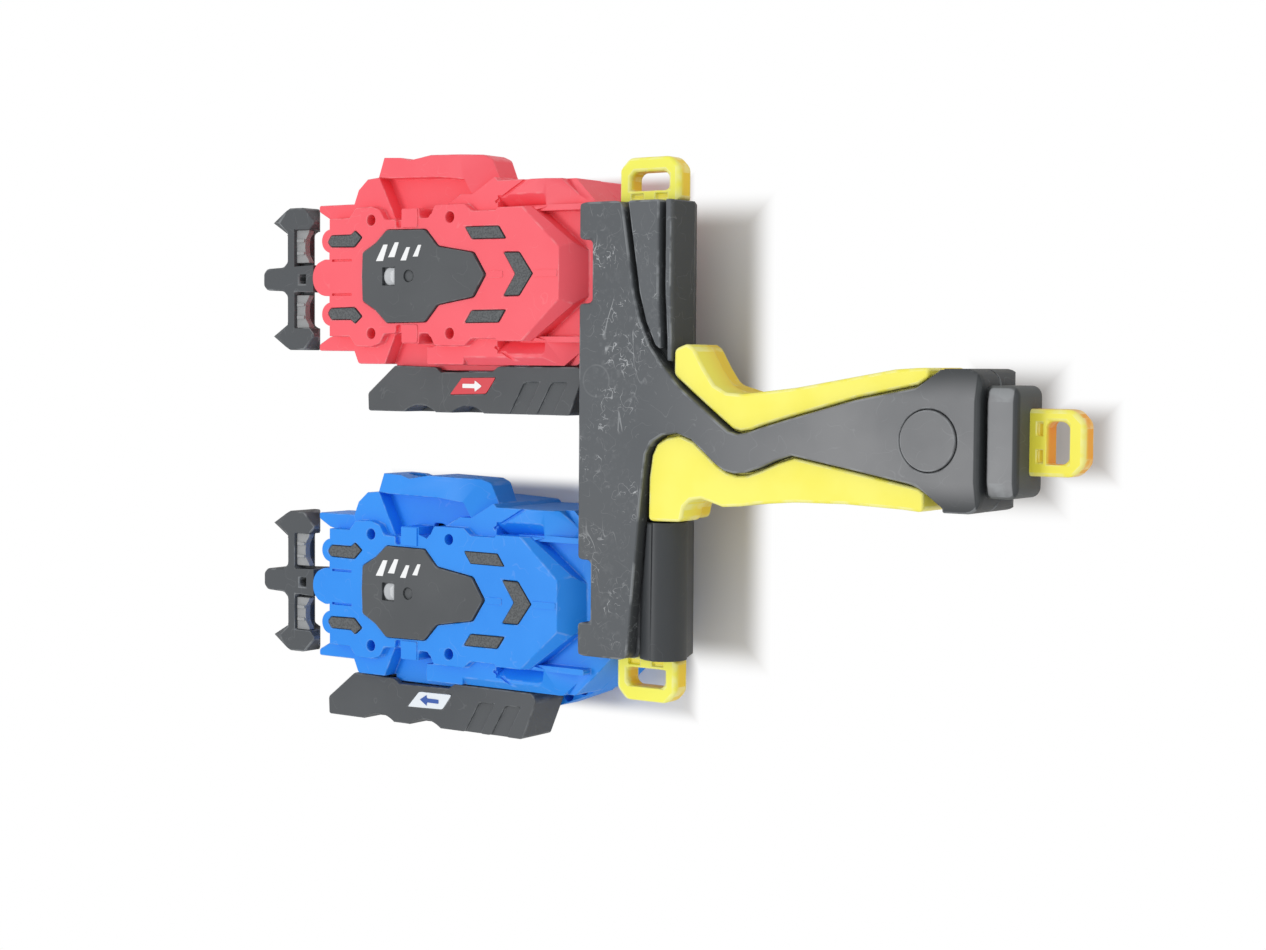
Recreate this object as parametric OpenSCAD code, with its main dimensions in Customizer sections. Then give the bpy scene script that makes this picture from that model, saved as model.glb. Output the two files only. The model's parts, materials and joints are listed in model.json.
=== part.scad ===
/* [Layout] */
// Distance between the head axes of the two launchers
launcher_pitch = 90; // [88:0.5:96]
// How far the grip's centre line lies off the middle between the launchers
grip_offset = 3; // [0:0.5:5]
// Length that the outline of a launcher's case follows
body_len = 100; // [99:0.25:103]
// Length of the handle behind the crossbar
handle_len = 100; // [98:0.5:104]

/* [Launcher case] */
// Height of a launcher's deck above the table
deck_h = 32; // [31.75:0.25:35]
// Wall of the moulded shells
wall = 2.2; // [1.6:0.1:2.4]
// Height of the joint between the top and bottom shells
split_h = 14; // [13.8:0.1:14.4]
// Drop from the deck to the low ledges and the rear deck
low_drop = 6.5; // [6:0.25:7]
// Drop from the deck to the shoulders and side ledges
shoulder_drop = 2.2; // [1.5:0.1:3]
// Radius of the round well under the case
well_r = 17.5; // [16.5:0.25:17.5]
// Depth of the well
well_h = 9; // [8.5:0.1:9]
// Floor between the well and the gears
floor_t = 1.6; // [1.2:0.1:1.8]
// Side of the square grid of the deck's holes, along the launcher
hole_pitch_x = 29.2; // [28.6:0.1:29.6]
// The same, across the launcher
hole_pitch_y = 32.3; // [31.9:0.1:32.6]
// Radius of the deck's holes
hole_r = 1.55; // [1.2:0.05:1.8]

/* [Gear train] */
// Gear module
gear_mod = 1; // [0.97:0.01:1]
// Teeth of the reel's gear
reel_teeth = 36; // [35:1:36]
// Teeth of the idlers and of the head's gear
pinion_teeth = 15; // [15:1:15]
// Extra distance between meshing axes
mesh_clear = 0.1; // [0.05:0.01:0.12]
// Width of each gear
gear_w = 2.4; // [2:0.1:2.5]
// Gap between two levels of gears
level_gap = 0.3; // [0.25:0.01:0.35]

/* [Reel and cord] */
// Radius at which the cord leaves the reel
wrap_r = 12; // [11.5:0.1:12.2]
// Diameter of the pull cord
cord_d = 1.6; // [1.2:0.1:1.8]
// Height of the cord above the table
cord_h = 22.4; // [22.3:0.05:22.7]
// Radius of the reel's fixed axle
axle_r = 2.5; // [2:0.1:2.8]
// Radius of the idlers' pins
pin_r = 1.5; // [1.2:0.1:1.7]
// Radius of the launch head's spindle
spindle_r = 3; // [2.6:0.1:3.2]
// Turns of the return spring
spring_turns = 5; // [4:1:6]
// Thickness of the spring's strip
strip_t = 0.4; // [0.3:0.05:0.5]

/* [Pull handle] */
// Width of the pull handle across its lobes
handle_span = 42; // [38:1:46]
// Thickness of the pull handle
handle_t = 11; // [9:0.5:12]
// Length of the handle's stem
stem_len = 20.4; // [18:0.2:22]
// Width of the stem
stem_w = 8; // [7:0.2:9]

/* [Selector] */
// Length of the selector bar
bar_len = 77.6; // [74:0.2:79]
// Height of the selector bar
bar_h = 13; // [12.5:0.1:13.2]
// Travel of the selector bar
selector_travel = 15.5; // [14:0.1:16]

/* [Grip] */
// Length of the crossbar
cross_len = 121; // [119:0.5:126]
// Height of the grip's top face above the table
grip_top = 33; // [33:0.1:34]
// Thickness of the grip
grip_t = 23.5; // [23:0.1:24]
// Thickness of the top cover's plate
plate_t = 4.5; // [4:0.1:4.7]
// Radius of the crossbar's round back
barrel_r = 6.3; // [6:0.1:6.6]
// Radius of the thumb disc
disc_r = 7.4; // [7:0.1:8.4]
// Width of the handle's strap loop
loop_w = 16; // [14:0.5:18]
// Reach of the handle's strap loop beyond the cap
loop_reach = 12.9; // [12:0.1:14]
// Width of the crossbar's strap loops
side_loop_w = 19.2; // [17:0.2:20]
// Reach of the crossbar's strap loops
side_loop_reach = 12; // [11.5:0.1:13]
// Thickness of a strap loop
loop_t = 6; // [5:0.5:7]

/* [Fits] */
// Radial clearance of a running fit
run_fit = 0.05; // [0.03:0.01:0.08]
// Gap between parts that move past each other
slide_gap = 0.3; // [0.25:0.01:0.35]
// Gap between parts that are seated on each other
seat_gap = 0.05; // [0.03:0.01:0.1]

/* [Hidden] */
$fn = 48;
red_plastic = [0.93, 0.25, 0.3];
blue_plastic = [0.1, 0.45, 0.85];
black_plastic = [0.25, 0.26, 0.27];
gloss_black = [0.12, 0.12, 0.13];
yellow_plastic = [1, 0.84, 0.2];
grey_plastic = [0.6, 0.61, 0.62];
white_plastic = [0.93, 0.94, 0.95];
steel = [0.7, 0.71, 0.73];
cord_colour = [0.85, 0.85, 0.83];
RED = 0;
BLUE = 1;
cut = 1;

// One hundredth of the case, the handle and the crossbar: the tables below are in these hundredths
body_pc = body_len / 100;
handle_pc = handle_len / 100;
cross_pc = cross_len / 100;

// Heights inside a launcher
low_h = deck_h - low_drop;
shoulder_h = deck_h - shoulder_drop;
floor_h = well_h + floor_t;
level_step = gear_w + level_gap;
level_1 = floor_h + 2 * level_gap / 1.5;
level_2 = level_1 + level_step;
level_3 = level_2 + level_step;
shift_travel = level_3 - level_1;
spool_half = 2.4;
spool_low = cord_h - spool_half;
spool_top = cord_h + spool_half;
flange_t = 0.8;
roof_low = low_h - wall;
roof_high = deck_h - wall;

// Gear sizes and places
pinion_r = gear_mod * pinion_teeth / 2;
reel_gear_r = gear_mod * reel_teeth / 2;
addendum = 0.8 * gear_mod;
dedendum = 1.05 * gear_mod;
pinion_gap = 2 * pinion_r + mesh_clear;
first_at = [pinion_gap, 0];
second_at = [pinion_gap * cos(60), pinion_gap * sin(60)];
reel_at = [pinion_gap + pinion_r + reel_gear_r + mesh_clear, 0];
spool_r = wrap_r + 2.2 * gear_mod;
cup_r = reel_gear_r - 2.6 * gear_mod;

// Outline tables of a launcher, in hundredths of the case's length
skirt_shares = [[-30.7, -17], [-30.7, 17], [-23.1, 17], [-23.1, 21.2], [-21.4, 25.1], [-17.9, 28],
    [-13.5, 28.4], [16.9, 27.4], [28.9, 26.8], [30, 25.8], [53.6, 25.7], [60, 19.5], [66, 14],
    [66, -14], [60, -19.8], [54.4, -24.9], [-21.4, -24.9], [-23.1, -21.2], [-23.1, -17]];
deck_shares = [[-30.7, -17], [-30.7, 17], [-23, 17], [-20.5, 19.8], [-14.5, 20], [-11.2, 19],
    [-9.5, 16.2], [-3, 16], [-2.8, 19], [3.5, 19], [3.6, 16.2], [6.8, 16.2], [9.4, 19.6], [20, 19.6],
    [22.5, 17.6], [31, 17.6], [31.6, 18.3], [42, 18.3], [59, 5.5], [59, -5.5], [42, -18.3], [31.6, -18.3],
    [31, -17.6], [22.5, -17.6], [20, -19.6], [9.4, -19.6], [6.8, -16.2], [3.6, -16.2], [3.5, -19],
    [-2.8, -19], [-3, -16], [-9.5, -16.2], [-11.2, -19], [-14.5, -20], [-20.5, -19.8], [-23, -17]];
shoulder_shares = [[-23.1, 16.5], [-23.1, 21.2], [-21.4, 25.1], [-17.9, 28], [-13.4, 28.4], [-7, 16.1]];
lower_shoulder_shares = [[-23.1, -16.5], [-23.1, -21.2], [-21.4, -24.9], [-11.2, -24.9], [-7, -16.1]];
horn_shares = [[-37.8, 21.2], [-37.8, 19.4], [-33.7, 17.2], [-30.7, 16.6], [-22.5, 16.6], [-23.1, 21.2]];
ledge_shares = [[8.6, 18.2], [16.5, 22.4], [21, 22.4], [28.9, 26.8], [30, 25.8], [50.6, 25.7],
    [57.6, 18.4], [46, 18], [40, 16.5]];
lower_ledge_shares = [[4.5, -18.2], [4.5, -24.9], [51.5, -24.9], [57.6, -18.6], [46, -18], [40, -16.5]];
bump_shares = [[-13.2, 28.3], [-11.1, 33.8], [-4.8, 33.5], [-1.6, 32.6], [6.2, 33.8], [23, 33.3],
    [25.7, 32.2], [28.3, 26.1], [21, 21.6], [18.4, 26.5], [9.2, 27.5], [-9, 27.9]];
bump_pocket_shares = [[-9, 30], [-9, 31.4], [20.5, 31], [22, 30]];
bump_way_shares = [[-9, 22], [-9, 30.2], [21.8, 30.2], [24.4, 28], [21, 25.4], [20, 22]];
low_cavity_shares = [[-28.2, -14.6], [-28.2, 14.6], [-20.8, 18], [-19.6, 22.4], [52, 22.4], [63.4, 12.8],
    [63.4, -12.8], [52, -22.4], [-19.6, -22.4], [-20.8, -18]];
high_cavity_shares = [[-28.2, -13], [-28.2, 13], [40, 14.2], [50.4, 6], [50.4, -6], [40, -14.2]];
tab_shares = [[-17.9, -24], [-16.7, -28.2], [-10.4, -28.5], [-5.9, -24]];
flare_shares = [[28, -23], [32, -31.2], [40, -30.5], [52, -26], [59.5, -18.5], [56, -18]];
crown_shares = [[-17.9, 0], [-17.6, 7], [-12.7, 9.6], [-8.4, 13.3], [6, 13.1], [10.7, 8.2], [23.5, 6.2],
    [27.7, 0], [23.5, -6.2], [10.7, -8.2], [6, -13.1], [-8.4, -13.3], [-12.7, -9.6], [-17.6, -7]];
insert_shares = [[-31.4, 10.3], [-30.2, 8.8], [-20.8, 8.6], [-17.9, 11.3], [-20.6, 13.4], [-22.2, 12.2],
    [-30, 12.2]];
slant_shares = [[20, 13.3], [32.2, 13.2], [34.7, 9.7], [22.5, 9.8]];
chevron_shares = [[33.7, 6.1], [39.4, 6], [44, 0], [39.4, -6], [33.7, -6.1], [37.9, 0]];
hole_shares = [[3.8, 16.8], [3.8, 19.9], [6.6, 19.9], [8, 19.4], [8.6, 18.4], [8, 17.3], [6.6, 16.8]];
tab_raise_shares = [[-2.7, 13.7], [3.1, 18.8]];
tab_slot_shares = [[-5.2, 13.7], [-3.2, 16.1]];
nose_share = 32;
nose_r_share = 5.3;
lobe_shares = [30.4, 10.6, 3.4];
skirt_end_share = 66;
tongue_root_share = 62;
rib_shares = [37, 59.4, 17.8, 0.8];
ledge_slope_shares = [44.5, 20];
ledge_ridge_share = 21.8;
ledge_foot_share = 18.2;
ledge_run_shares = [30, 46];
rim_share = 25.2;
rim_run_shares = [18, 52.5];
rail_shares = [-10.5, 30.5];
rail_out_share = -26.6;
rib_w_share = 2.4;
bump_slope_shares = [17.5, 29];
bump_eye_shares = [-5, 33];
ledge_groove_shares = [32.6, 21.8];
ledge_groove_ends_share = [-4, 9];
nose_groove_shares = [-29.7, -22.1, 4.9];
seam_shares = [[28.2, 33.6], [44.4, 52.2]];
seam_half_share = 0.9;
bush_seat_share = -26;
cord_bend_share = -28.4;
flare_slot_shares = [[43.4, -27.2], [48.6, -24.9]];
flare_slot_r_share = 1.8;
side_hollow_shares = [-19.6, 20, 19.8, 22.4];
bevel_edge_shares = [[52.7, 0], [47.3, 11.8]];
bevel_turn = 48.4;
bevel_slope = 50;

// Dock tongue
tongue_len = 8.4;
tongue_half = 9.6;
tongue_t = 8.7;

// Underside pockets, screw posts, shift guide
pocket_share = 16;
pocket_start_share = 25;
pocket_rib_share = 2;
pocket_side_share = 1;
post_r = 3.2;
screw_r = 1.2;
screw_head_r = 2.6;
screw_head_h = 2;
front_post = [-hole_pitch_x / 2, hole_pitch_y / 2];
rear_post = [54 * body_pc, 19.2 * body_pc];
post_places = [front_post, [front_post[0], -front_post[1]], rear_post, [rear_post[0], -rear_post[1]]];
guide_at = [-9 * body_pc, -9 * body_pc];
guide_eye_r = 3;
bush_r = spindle_r + 1.9;
boss_r = pin_r + 1.5;

// Launch head
head_r = 14.5;
head_t = 3;
head_top = well_h - slide_gap - 0.3 * body_pc;
prong_in = 11.5;
prong_low = 1;
socket_r = 3.6;
socket_low = 3;
socket_wall = 2.4;
spindle_top = roof_high - 2 * slide_gap - wall;
flat_half = 0.83 * spindle_r;

// Output gear's collar and the fork in it
neck_r = spindle_r + 1.3;
collar_r = spindle_r + 2.6;
fork_t = 1;
neck_h = fork_t + 2 * slide_gap;
collar_t = 0.8;
fork_h = gear_w + slide_gap;
fork_reach = 18.6;
fork_pin_r = 1.2;
fork_arm = 5.4;
cam_in = -20.4 * body_pc;
cam_t = 1.6;
cam_clear = 0.3;
cam_margin = 1.6;
web_len = 8;
fork_half = neck_r + 1.9;

// Pull handle places
nose_end = -(nose_share + nose_r_share) * body_pc;
bush_proud = 3.4;
web_back = 10.4;
lobe_back = 18.4;
knot_back = 4.4;
bush_end = nose_end - bush_proud;
bush_wall = 1.1;
cord_bore = cord_d / 2 + 0.5;
bush_out = cord_bore + bush_wall;
stem_right = bush_end - slide_gap;
stem_left = stem_right - stem_len;
web_left = stem_right - web_back;
web_t = 2.7;
lobe_left = stem_right - lobe_back;
handle_low = cord_h - handle_t / 2;
handle_top = cord_h + handle_t / 2;
half_span = handle_span / 2;

// Selector bar places
bar_low = split_h + 1;
bar_top = bar_low + bar_h;
bar_in = -25.2 * body_pc;
bar_red = -19.4 * body_pc;
bar_out = 13.2;

// Grip places, from the crossbar's front edge and the grip's centre line
grip_front = 60.3 * body_pc;
grip_low = grip_top - grip_t;
grip_mid = grip_top - grip_t / 2;
plate_low = grip_top - plate_t;
half_cross = cross_len / 2;
tray_front = 8.2;
tray_back = 23.6;
barrel_at = 21.9;
barrel_drop = 9;
cap_front = 117.9 * handle_pc;
cap_len = 8.3;
loop_left = cap_front + cap_len + 1.2;
loop_seat = 3.7;
tip_bar = 3.9;
side_loop_at = tray_front + side_loop_w / 2 - 1.4;
disc_at = 104 * handle_pc;

// Outline tables of the grip, in hundredths of the handle's length
spine_upper_shares = [[17.7, 36.3], [19.8, 28.9], [22.7, 22.8], [26.7, 17.7], [32.3, 11.8], [39, 6.8],
    [44.5, 2.8], [47.2, 0.9], [49.9, 0.2], [53, 0.7], [56.3, 1.8], [64.6, 4.2], [83.9, 9.4], [100.4, 12.7],
    [106.1, 17]];
spine_lower_shares = [[108.4, -17.2], [100.8, -10.9], [83.1, -7.7], [65.8, -4.7], [61, -6.2], [56.4, -8.2],
    [52, -9.6], [48.9, -9.8], [46, -9.2], [43.5, -7.7], [39.5, -4.4], [35.8, -1.5], [31.3, 0], [26.9, -0.7],
    [23.5, -2.6], [21.8, -5.8], [20.2, -17.9], [18.6, -33.9]];
upper_panel_shares = [[29.2, 14.9], [29.3, 21.8], [33.2, 23.2], [35.4, 21.9], [38.5, 16.8], [41.6, 12.6],
    [45.3, 10.7], [50, 10.4], [54, 10.8], [66, 12.2], [80, 14.6], [93.6, 17], [99.4, 17.4], [103, 17.5]];
lower_panel_shares = [[102, -17.5], [96, -17], [80, -16.4], [66, -16.6], [54, -17.6], [50, -18.3],
    [44.3, -18.7], [38, -16.9], [34.6, -17.4], [32.6, -19.2], [31.7, -23.2], [21.4, -23.4], [21.6, -12]];
lower_inner_shares = [[102, -15], [100, -8.4], [83.1, -4.6], [65.8, -1.6], [56.4, -4.4], [48.9, -6],
    [43.5, -4], [35.8, 1.4], [31.3, 2.4], [27.6, 2], [24, -0.6]];
upper_inner_shares = [[103, 11.5], [100.4, 9.8], [83.9, 6.4], [64.6, 1.2], [56.3, -0.6], [49.9, -2.2],
    [44.5, 0], [39, 3.8], [32.3, 8.8]];
spine_end_share = 13.8;
spine_foot_share = 16.1;
notch_in = 4.2;
upper_notch_shares = [27.9, 41.8];
lower_notch_shares = [-42.5, -28.6];
pommel_half_share = 17.3;
pommel_flat_share = 9.6;
pommel_seam_share = 107.1;
pommel_end_share = 117.4;
pommel_slope_share = 100;

// Overall places, from the middle between the two head axes
x_min = stem_left;
x_max = grip_front + loop_left + loop_reach;
y_max = launcher_pitch / 2 + 33.8 * body_pc;
y_min = -launcher_pitch / 2 + bar_in - bar_out;
mid = [(x_min + x_max) / 2, (y_min + y_max) / 2];

// Turns of the gears that bring the teeth into mesh at rest
function mesh_turn(teeth_a, turn_a, teeth_b, along) =
    along + 180 - (0.5 - teeth_a * (along - turn_a) / 360) * 360 / teeth_b;
head_turn = mesh_turn(pinion_teeth, 0, pinion_teeth, 180);
second_turn = mesh_turn(pinion_teeth, 0, pinion_teeth, 120);
reel_turn = mesh_turn(pinion_teeth, 0, reel_teeth, 0);

function flipped(shares) = [for (p = shares) [p[0], -p[1]]];
function sign_of(side) = side == RED ? 1 : -1;

// A launcher's own frame: origin on its head axis at the table
module at_launcher(side)
    translate([-mid[0], sign_of(side) * launcher_pitch / 2 - mid[1], 0]) children();

// The grip's own frame: origin at the crossbar's front edge on the grip's centre line
module at_grip()
    translate([grip_front - mid[0], grip_offset - mid[1], 0]) children();

module prism(points, low, high)
    translate([0, 0, low]) linear_extrude(high - low) polygon(points);

module rod(r, low, high, at = [0, 0])
    translate([at[0], at[1], low]) cylinder(r = r, h = high - low);

module rod_x(r, left, right, at = [0, 0])
    translate([left, at[0], at[1]]) rotate([0, 90, 0]) cylinder(r = r, h = right - left);

module block(low, high)
    translate(low) cube(high - low);

// A bar along the length, from a section of places across and heights
module run_x(points, left, right)
    translate([left, 0, 0]) rotate([90, 0, 90]) linear_extrude(right - left) polygon(points);

// A wedge of waste above a face that slopes down from a point, towards the given bearing
module slope_waste(at, high, bearing, slope, size)
    translate([at[0], at[1], high]) rotate([0, 0, bearing]) rotate([0, slope, 0])
        translate([0, -size, 0]) cube([2 * size, 2 * size, size]);

// Gear with straight-flanked teeth
module gear(teeth, low, high, turn) {
    root = gear_mod * teeth / 2 - dedendum;
    tip = gear_mod * teeth / 2 + addendum;
    step = 360 / teeth;
    root_share = 0.29;
    tip_share = 0.13;
    points = [for (i = [0 : teeth - 1]) for (q = [[root, -root_share], [tip, -tip_share],
        [tip, tip_share], [root, root_share]])
        let (angle = turn + step * (i + q[1])) q[0] * [cos(angle), sin(angle)]];
    prism(points, low, high);
}

// The case's outline with its round nose and the two lobes beside it
module front_lobes(low, high) {
    rod(nose_r_share * body_pc, low, high, [-nose_share * body_pc, 0]);
    for (s = [-1, 1])
        rod(lobe_shares[2] * body_pc, low, high, [-lobe_shares[0], s * lobe_shares[1]] * body_pc);
}

module case_posts(low, high)
    for (p = post_places) rod(post_r, low, high, p);

/* Top shell */
module deck_block()
    difference() {
        prism(deck_shares * body_pc, split_h, deck_h);
        slope_waste(bevel_edge_shares[0] * body_pc, deck_h, 0, bevel_slope, deck_h);
        for (s = [-1, 1])
            slope_waste([bevel_edge_shares[1][0], s * bevel_edge_shares[1][1]] * body_pc, deck_h,
                s * bevel_turn, bevel_slope, deck_h);
    }

module side_ledge(shares, side_sign)
    difference() {
        prism(shares * body_pc, split_h, shoulder_h);
        mirror([0, side_sign > 0 ? 0 : 1, 0]) {
            run_x([[ledge_ridge_share * body_pc, shoulder_h], [ledge_ridge_share * body_pc, deck_h],
                [ledge_foot_share * body_pc, deck_h], [ledge_foot_share * body_pc, low_h + seam_rise]],
                ledge_run_shares[0] * body_pc, ledge_run_shares[1] * body_pc);
            if (side_sign < 0)
                run_x([[(ledge_ridge_share + seam_half_share) * body_pc, shoulder_h],
                    [(ledge_ridge_share + seam_half_share) * body_pc, deck_h],
                    [rim_share * body_pc, deck_h], [rim_share * body_pc, shoulder_h - shoulder_drop]],
                    rim_run_shares[0] * body_pc, rim_run_shares[1] * body_pc);
        }
        slope_waste([ledge_slope_shares[0], side_sign * ledge_slope_shares[1]] * body_pc, shoulder_h,
            side_sign * -20, 25, deck_h);
    }

module side_rib(side_sign)
    block([rib_shares[0] * body_pc, (side_sign * rib_shares[2] - rib_shares[3]) * body_pc, split_h],
        [rib_shares[1] * body_pc, (side_sign * rib_shares[2] + rib_shares[3]) * body_pc,
            low_h + low_drop / 2]);

bump_low = split_h + 4;
module bump()
    difference() {
        prism(bump_shares * body_pc, bump_low, shoulder_h + shoulder_drop / 4);
        slope_waste(bump_slope_shares * body_pc, shoulder_h + shoulder_drop / 4, 8, 22, deck_h);
    }

// Raised mass of the top shell before anything is taken out
module top_mass() {
    prism(skirt_shares * body_pc, split_h, low_h);
    front_lobes(split_h, deck_h);
    deck_block();
    prism(shoulder_shares * body_pc, split_h, shoulder_h);
    prism(lower_shoulder_shares * body_pc, split_h, shoulder_h);
    for (shares = [horn_shares, flipped(horn_shares)])
        prism(shares * body_pc, split_h + wall, shoulder_h - shoulder_drop / 2);
    side_ledge(ledge_shares, 1);
    side_ledge(lower_ledge_shares, -1);
    for (s = [-1, 1]) side_rib(s);
    bump();
    block([rail_shares[0] * body_pc, rail_out_share * body_pc, cam_top + slide_gap / 2],
        [rail_shares[1] * body_pc, (rail_out_share + rib_w_share) * body_pc, low_h]);
    block([tongue_root_share * body_pc, -tongue_half, split_h + slide_gap],
        [skirt_end_share * body_pc + tongue_len, tongue_half, split_h + slide_gap + tongue_t]);
    // Raised tabs beside the crown, and a fine raised seam along the middle of the deck
    for (s = [-1, 1])
        mirror([0, s > 0 ? 0 : 1, 0])
            block([tab_raise_shares[0][0] * body_pc, tab_raise_shares[0][1] * body_pc, low_h],
                [tab_raise_shares[1][0] * body_pc, tab_raise_shares[1][1] * body_pc,
                    deck_h + 2 * seam_rise]);
    for (ends = seam_shares)
        block([ends[0] * body_pc, -seam_half_share * body_pc, low_h],
            [ends[1] * body_pc, seam_half_share * body_pc, deck_h + seam_rise]);
}

insert_depth = 1.2;
crown_depth = 1.4;
groove_w = 0.7;
groove_depth = 0.8;
seam_rise = 0.2;

module insert_outlines() {
    for (shares = [insert_shares, flipped(insert_shares), slant_shares, flipped(slant_shares),
        chevron_shares])
        polygon(shares * body_pc);
}

// Slanted grooves across the side ledges
module ledge_grooves()
    for (s = [-1, 1])
        translate([ledge_groove_shares[0] * body_pc, s * ledge_groove_shares[1] * body_pc,
            shoulder_h - groove_depth])
            rotate([0, 0, s * 29])
                block([ledge_groove_ends_share[0] * body_pc, -groove_w / 2, 0],
                    [ledge_groove_ends_share[1] * body_pc, groove_w / 2, deck_h]);

// Grooves beside the round nose
module nose_grooves()
    for (s = [-1, 1])
        translate([0, s * nose_groove_shares[2] * body_pc, deck_h - groove_depth])
            block([nose_groove_shares[0] * body_pc, -groove_w / 2, 0],
                [nose_groove_shares[1] * body_pc, groove_w / 2, groove_depth + cut]);

// Room in the wall for the selector's web to slide
module web_window(side) {
    left = cam_left(side) + (cam_len() - web_len) / 2;
    reach = selector_travel + slide_gap;
    span = side == RED ? [left - reach, left + web_len + slide_gap]
        : [left - slide_gap, left + web_len + reach];
    block([span[0], bar_in - cut, split_h - cut], [span[1], cam_in, cam_top]);
}

module top_cavity() {
    prism(low_cavity_shares * body_pc, split_h - cut, roof_low);
    prism(high_cavity_shares * body_pc, split_h - cut, roof_high);
    rod(spool_r + 2 * slide_gap, split_h - cut, spool_top + flange_t + 2 * slide_gap, reel_at);
    prism(bump_pocket_shares * body_pc, bump_low + wall, shoulder_h - wall);
    prism(bump_way_shares * body_pc, bump_low + wall, roof_low);
    // Head room over the small gears
    for (p = [[0, 0], first_at, second_at])
        rod(pinion_r + addendum + slide_gap, split_h - cut, level_3 + gear_w + slide_gap, p);
}

// Bosses and posts that hang from the roof of the top shell
module top_bosses() {
    rod(post_r, split_h + seat_gap, deck_h - wall, post_places[0]);
    rod(post_r, split_h + seat_gap, deck_h - wall, post_places[1]);
    rod(post_r, split_h + seat_gap, low_h - wall / 2, post_places[2]);
    rod(post_r, split_h + seat_gap, low_h - wall / 2, post_places[3]);
    rod(bush_r, roof_high - 2 * wall, roof_high + wall / 2);
    rod(boss_r, roof_high - 2 * wall, roof_high + wall / 2, first_at);
    rod(boss_r, level_3 + gear_w + slide_gap, roof_high, second_at);
    rod(boss_r, roof_high - 2 * wall, roof_high + wall / 2, guide_at);
    rod(axle_r + 1.5 * gear_mod, spool_top + flange_t + slide_gap, roof_high + wall / 2, reel_at);
}

module top_shell_shape(side)
    difference() {
        union() {
            difference() {
                top_mass();
                top_cavity();
            }
            top_bosses();
        }
        // Seats of the crown cover and the textured inserts
        prism(crown_shares * body_pc, deck_h - crown_depth, deck_h + cut);
        translate([0, 0, deck_h - insert_depth]) linear_extrude(insert_depth + cut) insert_outlines();
        // Blind holes in the deck, and openings beside the two tabs
        for (x = [-1, 1]) for (y = [-1, 1])
            rod(hole_r, deck_h - 2 * wall, deck_h + cut, [x * hole_pitch_x, y * hole_pitch_y] / 2);
        for (shares = [hole_shares, flipped(hole_shares)])
            prism(shares * body_pc, roof_low - cut, deck_h + cut);
        for (s = [-1, 1])
            mirror([0, s > 0 ? 0 : 1, 0])
                block([tab_slot_shares[0][0] * body_pc, tab_slot_shares[0][1] * body_pc,
                    deck_h - crown_depth], [tab_slot_shares[1][0] * body_pc,
                    tab_slot_shares[1][1] * body_pc, deck_h + cut]);
        ledge_grooves();
        nose_grooves();
        // Bores for the spindle, the pins and the screws
        rod(spindle_r + run_fit, roof_high - 3 * wall, spindle_top + slide_gap);
        for (p = [first_at, second_at, guide_at])
            rod(pin_r + seat_gap, level_3, roof_high - wall / 2, p);
        rod(axle_r + seat_gap, spool_top, roof_high, reel_at);
        for (p = post_places) rod(screw_r + seat_gap, split_h - cut, roof_low - wall / 2, p);
        // Seat of the cord's bush in the nose
        rod_x(bush_out + seat_gap, nose_end - cut, bush_seat_share * body_pc, [0, cord_h]);
        web_window(side);
        // Sighting hole in the side of the bump
        translate([bump_eye_shares[0] * body_pc, bump_eye_shares[1] * body_pc, cord_h]) rotate([90, 0, 0])
            cylinder(r = hole_r + wall / 2, h = 4 * wall, center = true);
    }

/* Bottom shell */
module belly_mass() {
    prism(skirt_shares * body_pc, 0, split_h);
    front_lobes(0, split_h);
    prism(tab_shares * body_pc, split_h / 2, split_h);
    prism(flare_shares * body_pc, split_h / 3, split_h);
}

// Oval opening in the flared corner
module flare_slot()
    for (i = [0, 1])
        rod(flare_slot_r_share * body_pc, -cut, split_h + cut, flare_slot_shares[i] * body_pc);

module under_pockets()
    for (x = [0, 1]) for (y = [-1, 1])
        translate([(pocket_start_share + x * (pocket_share + pocket_rib_share)) * body_pc,
            (y > 0 ? pocket_side_share : -pocket_side_share - pocket_share) * body_pc, -cut])
            cube([pocket_share * body_pc, pocket_share * body_pc, well_h + cut]);

module bottom_shell_shape()
    difference() {
        union() {
            difference() {
                belly_mass();
                prism(low_cavity_shares * body_pc, floor_h, split_h + cut);
                rod(reel_gear_r + addendum + slide_gap, floor_h, split_h + cut, reel_at);
                under_pockets();
                // Hollow sides of the round well
                for (s = [-1, 1])
                    mirror([0, s > 0 ? 0 : 1, 0])
                        block([side_hollow_shares[0] * body_pc, side_hollow_shares[2] * body_pc, wall],
                            [side_hollow_shares[1] * body_pc, side_hollow_shares[3] * body_pc,
                                split_h + cut]);
                flare_slot();
            }
            case_posts(0, split_h - seat_gap);
            rod(boss_r, well_h, level_2 - slide_gap, second_at);
        }
        rod(well_r, -cut, well_h);
        rod(bush_r + seat_gap, well_h - cut, floor_h + cut);
        for (p = [first_at, second_at, guide_at])
            rod(pin_r + seat_gap, well_h + floor_t / 4, split_h + cut, p);
        rod(axle_r + seat_gap, well_h + floor_t / 4, split_h + cut, reel_at);
        for (p = post_places) {
            rod(screw_r + run_fit, -cut, split_h + cut, p);
            rod(screw_head_r + slide_gap, -cut, screw_head_h + slide_gap, p);
        }
    }

crown_rise = 0.6;
crown_fit_share = 0.985;
window_r_share = 3.4;
window_at_share = -7.4;
window_shares = [-9.8, -5.1, 2.6];
dot_r_share = 1.8;

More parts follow.
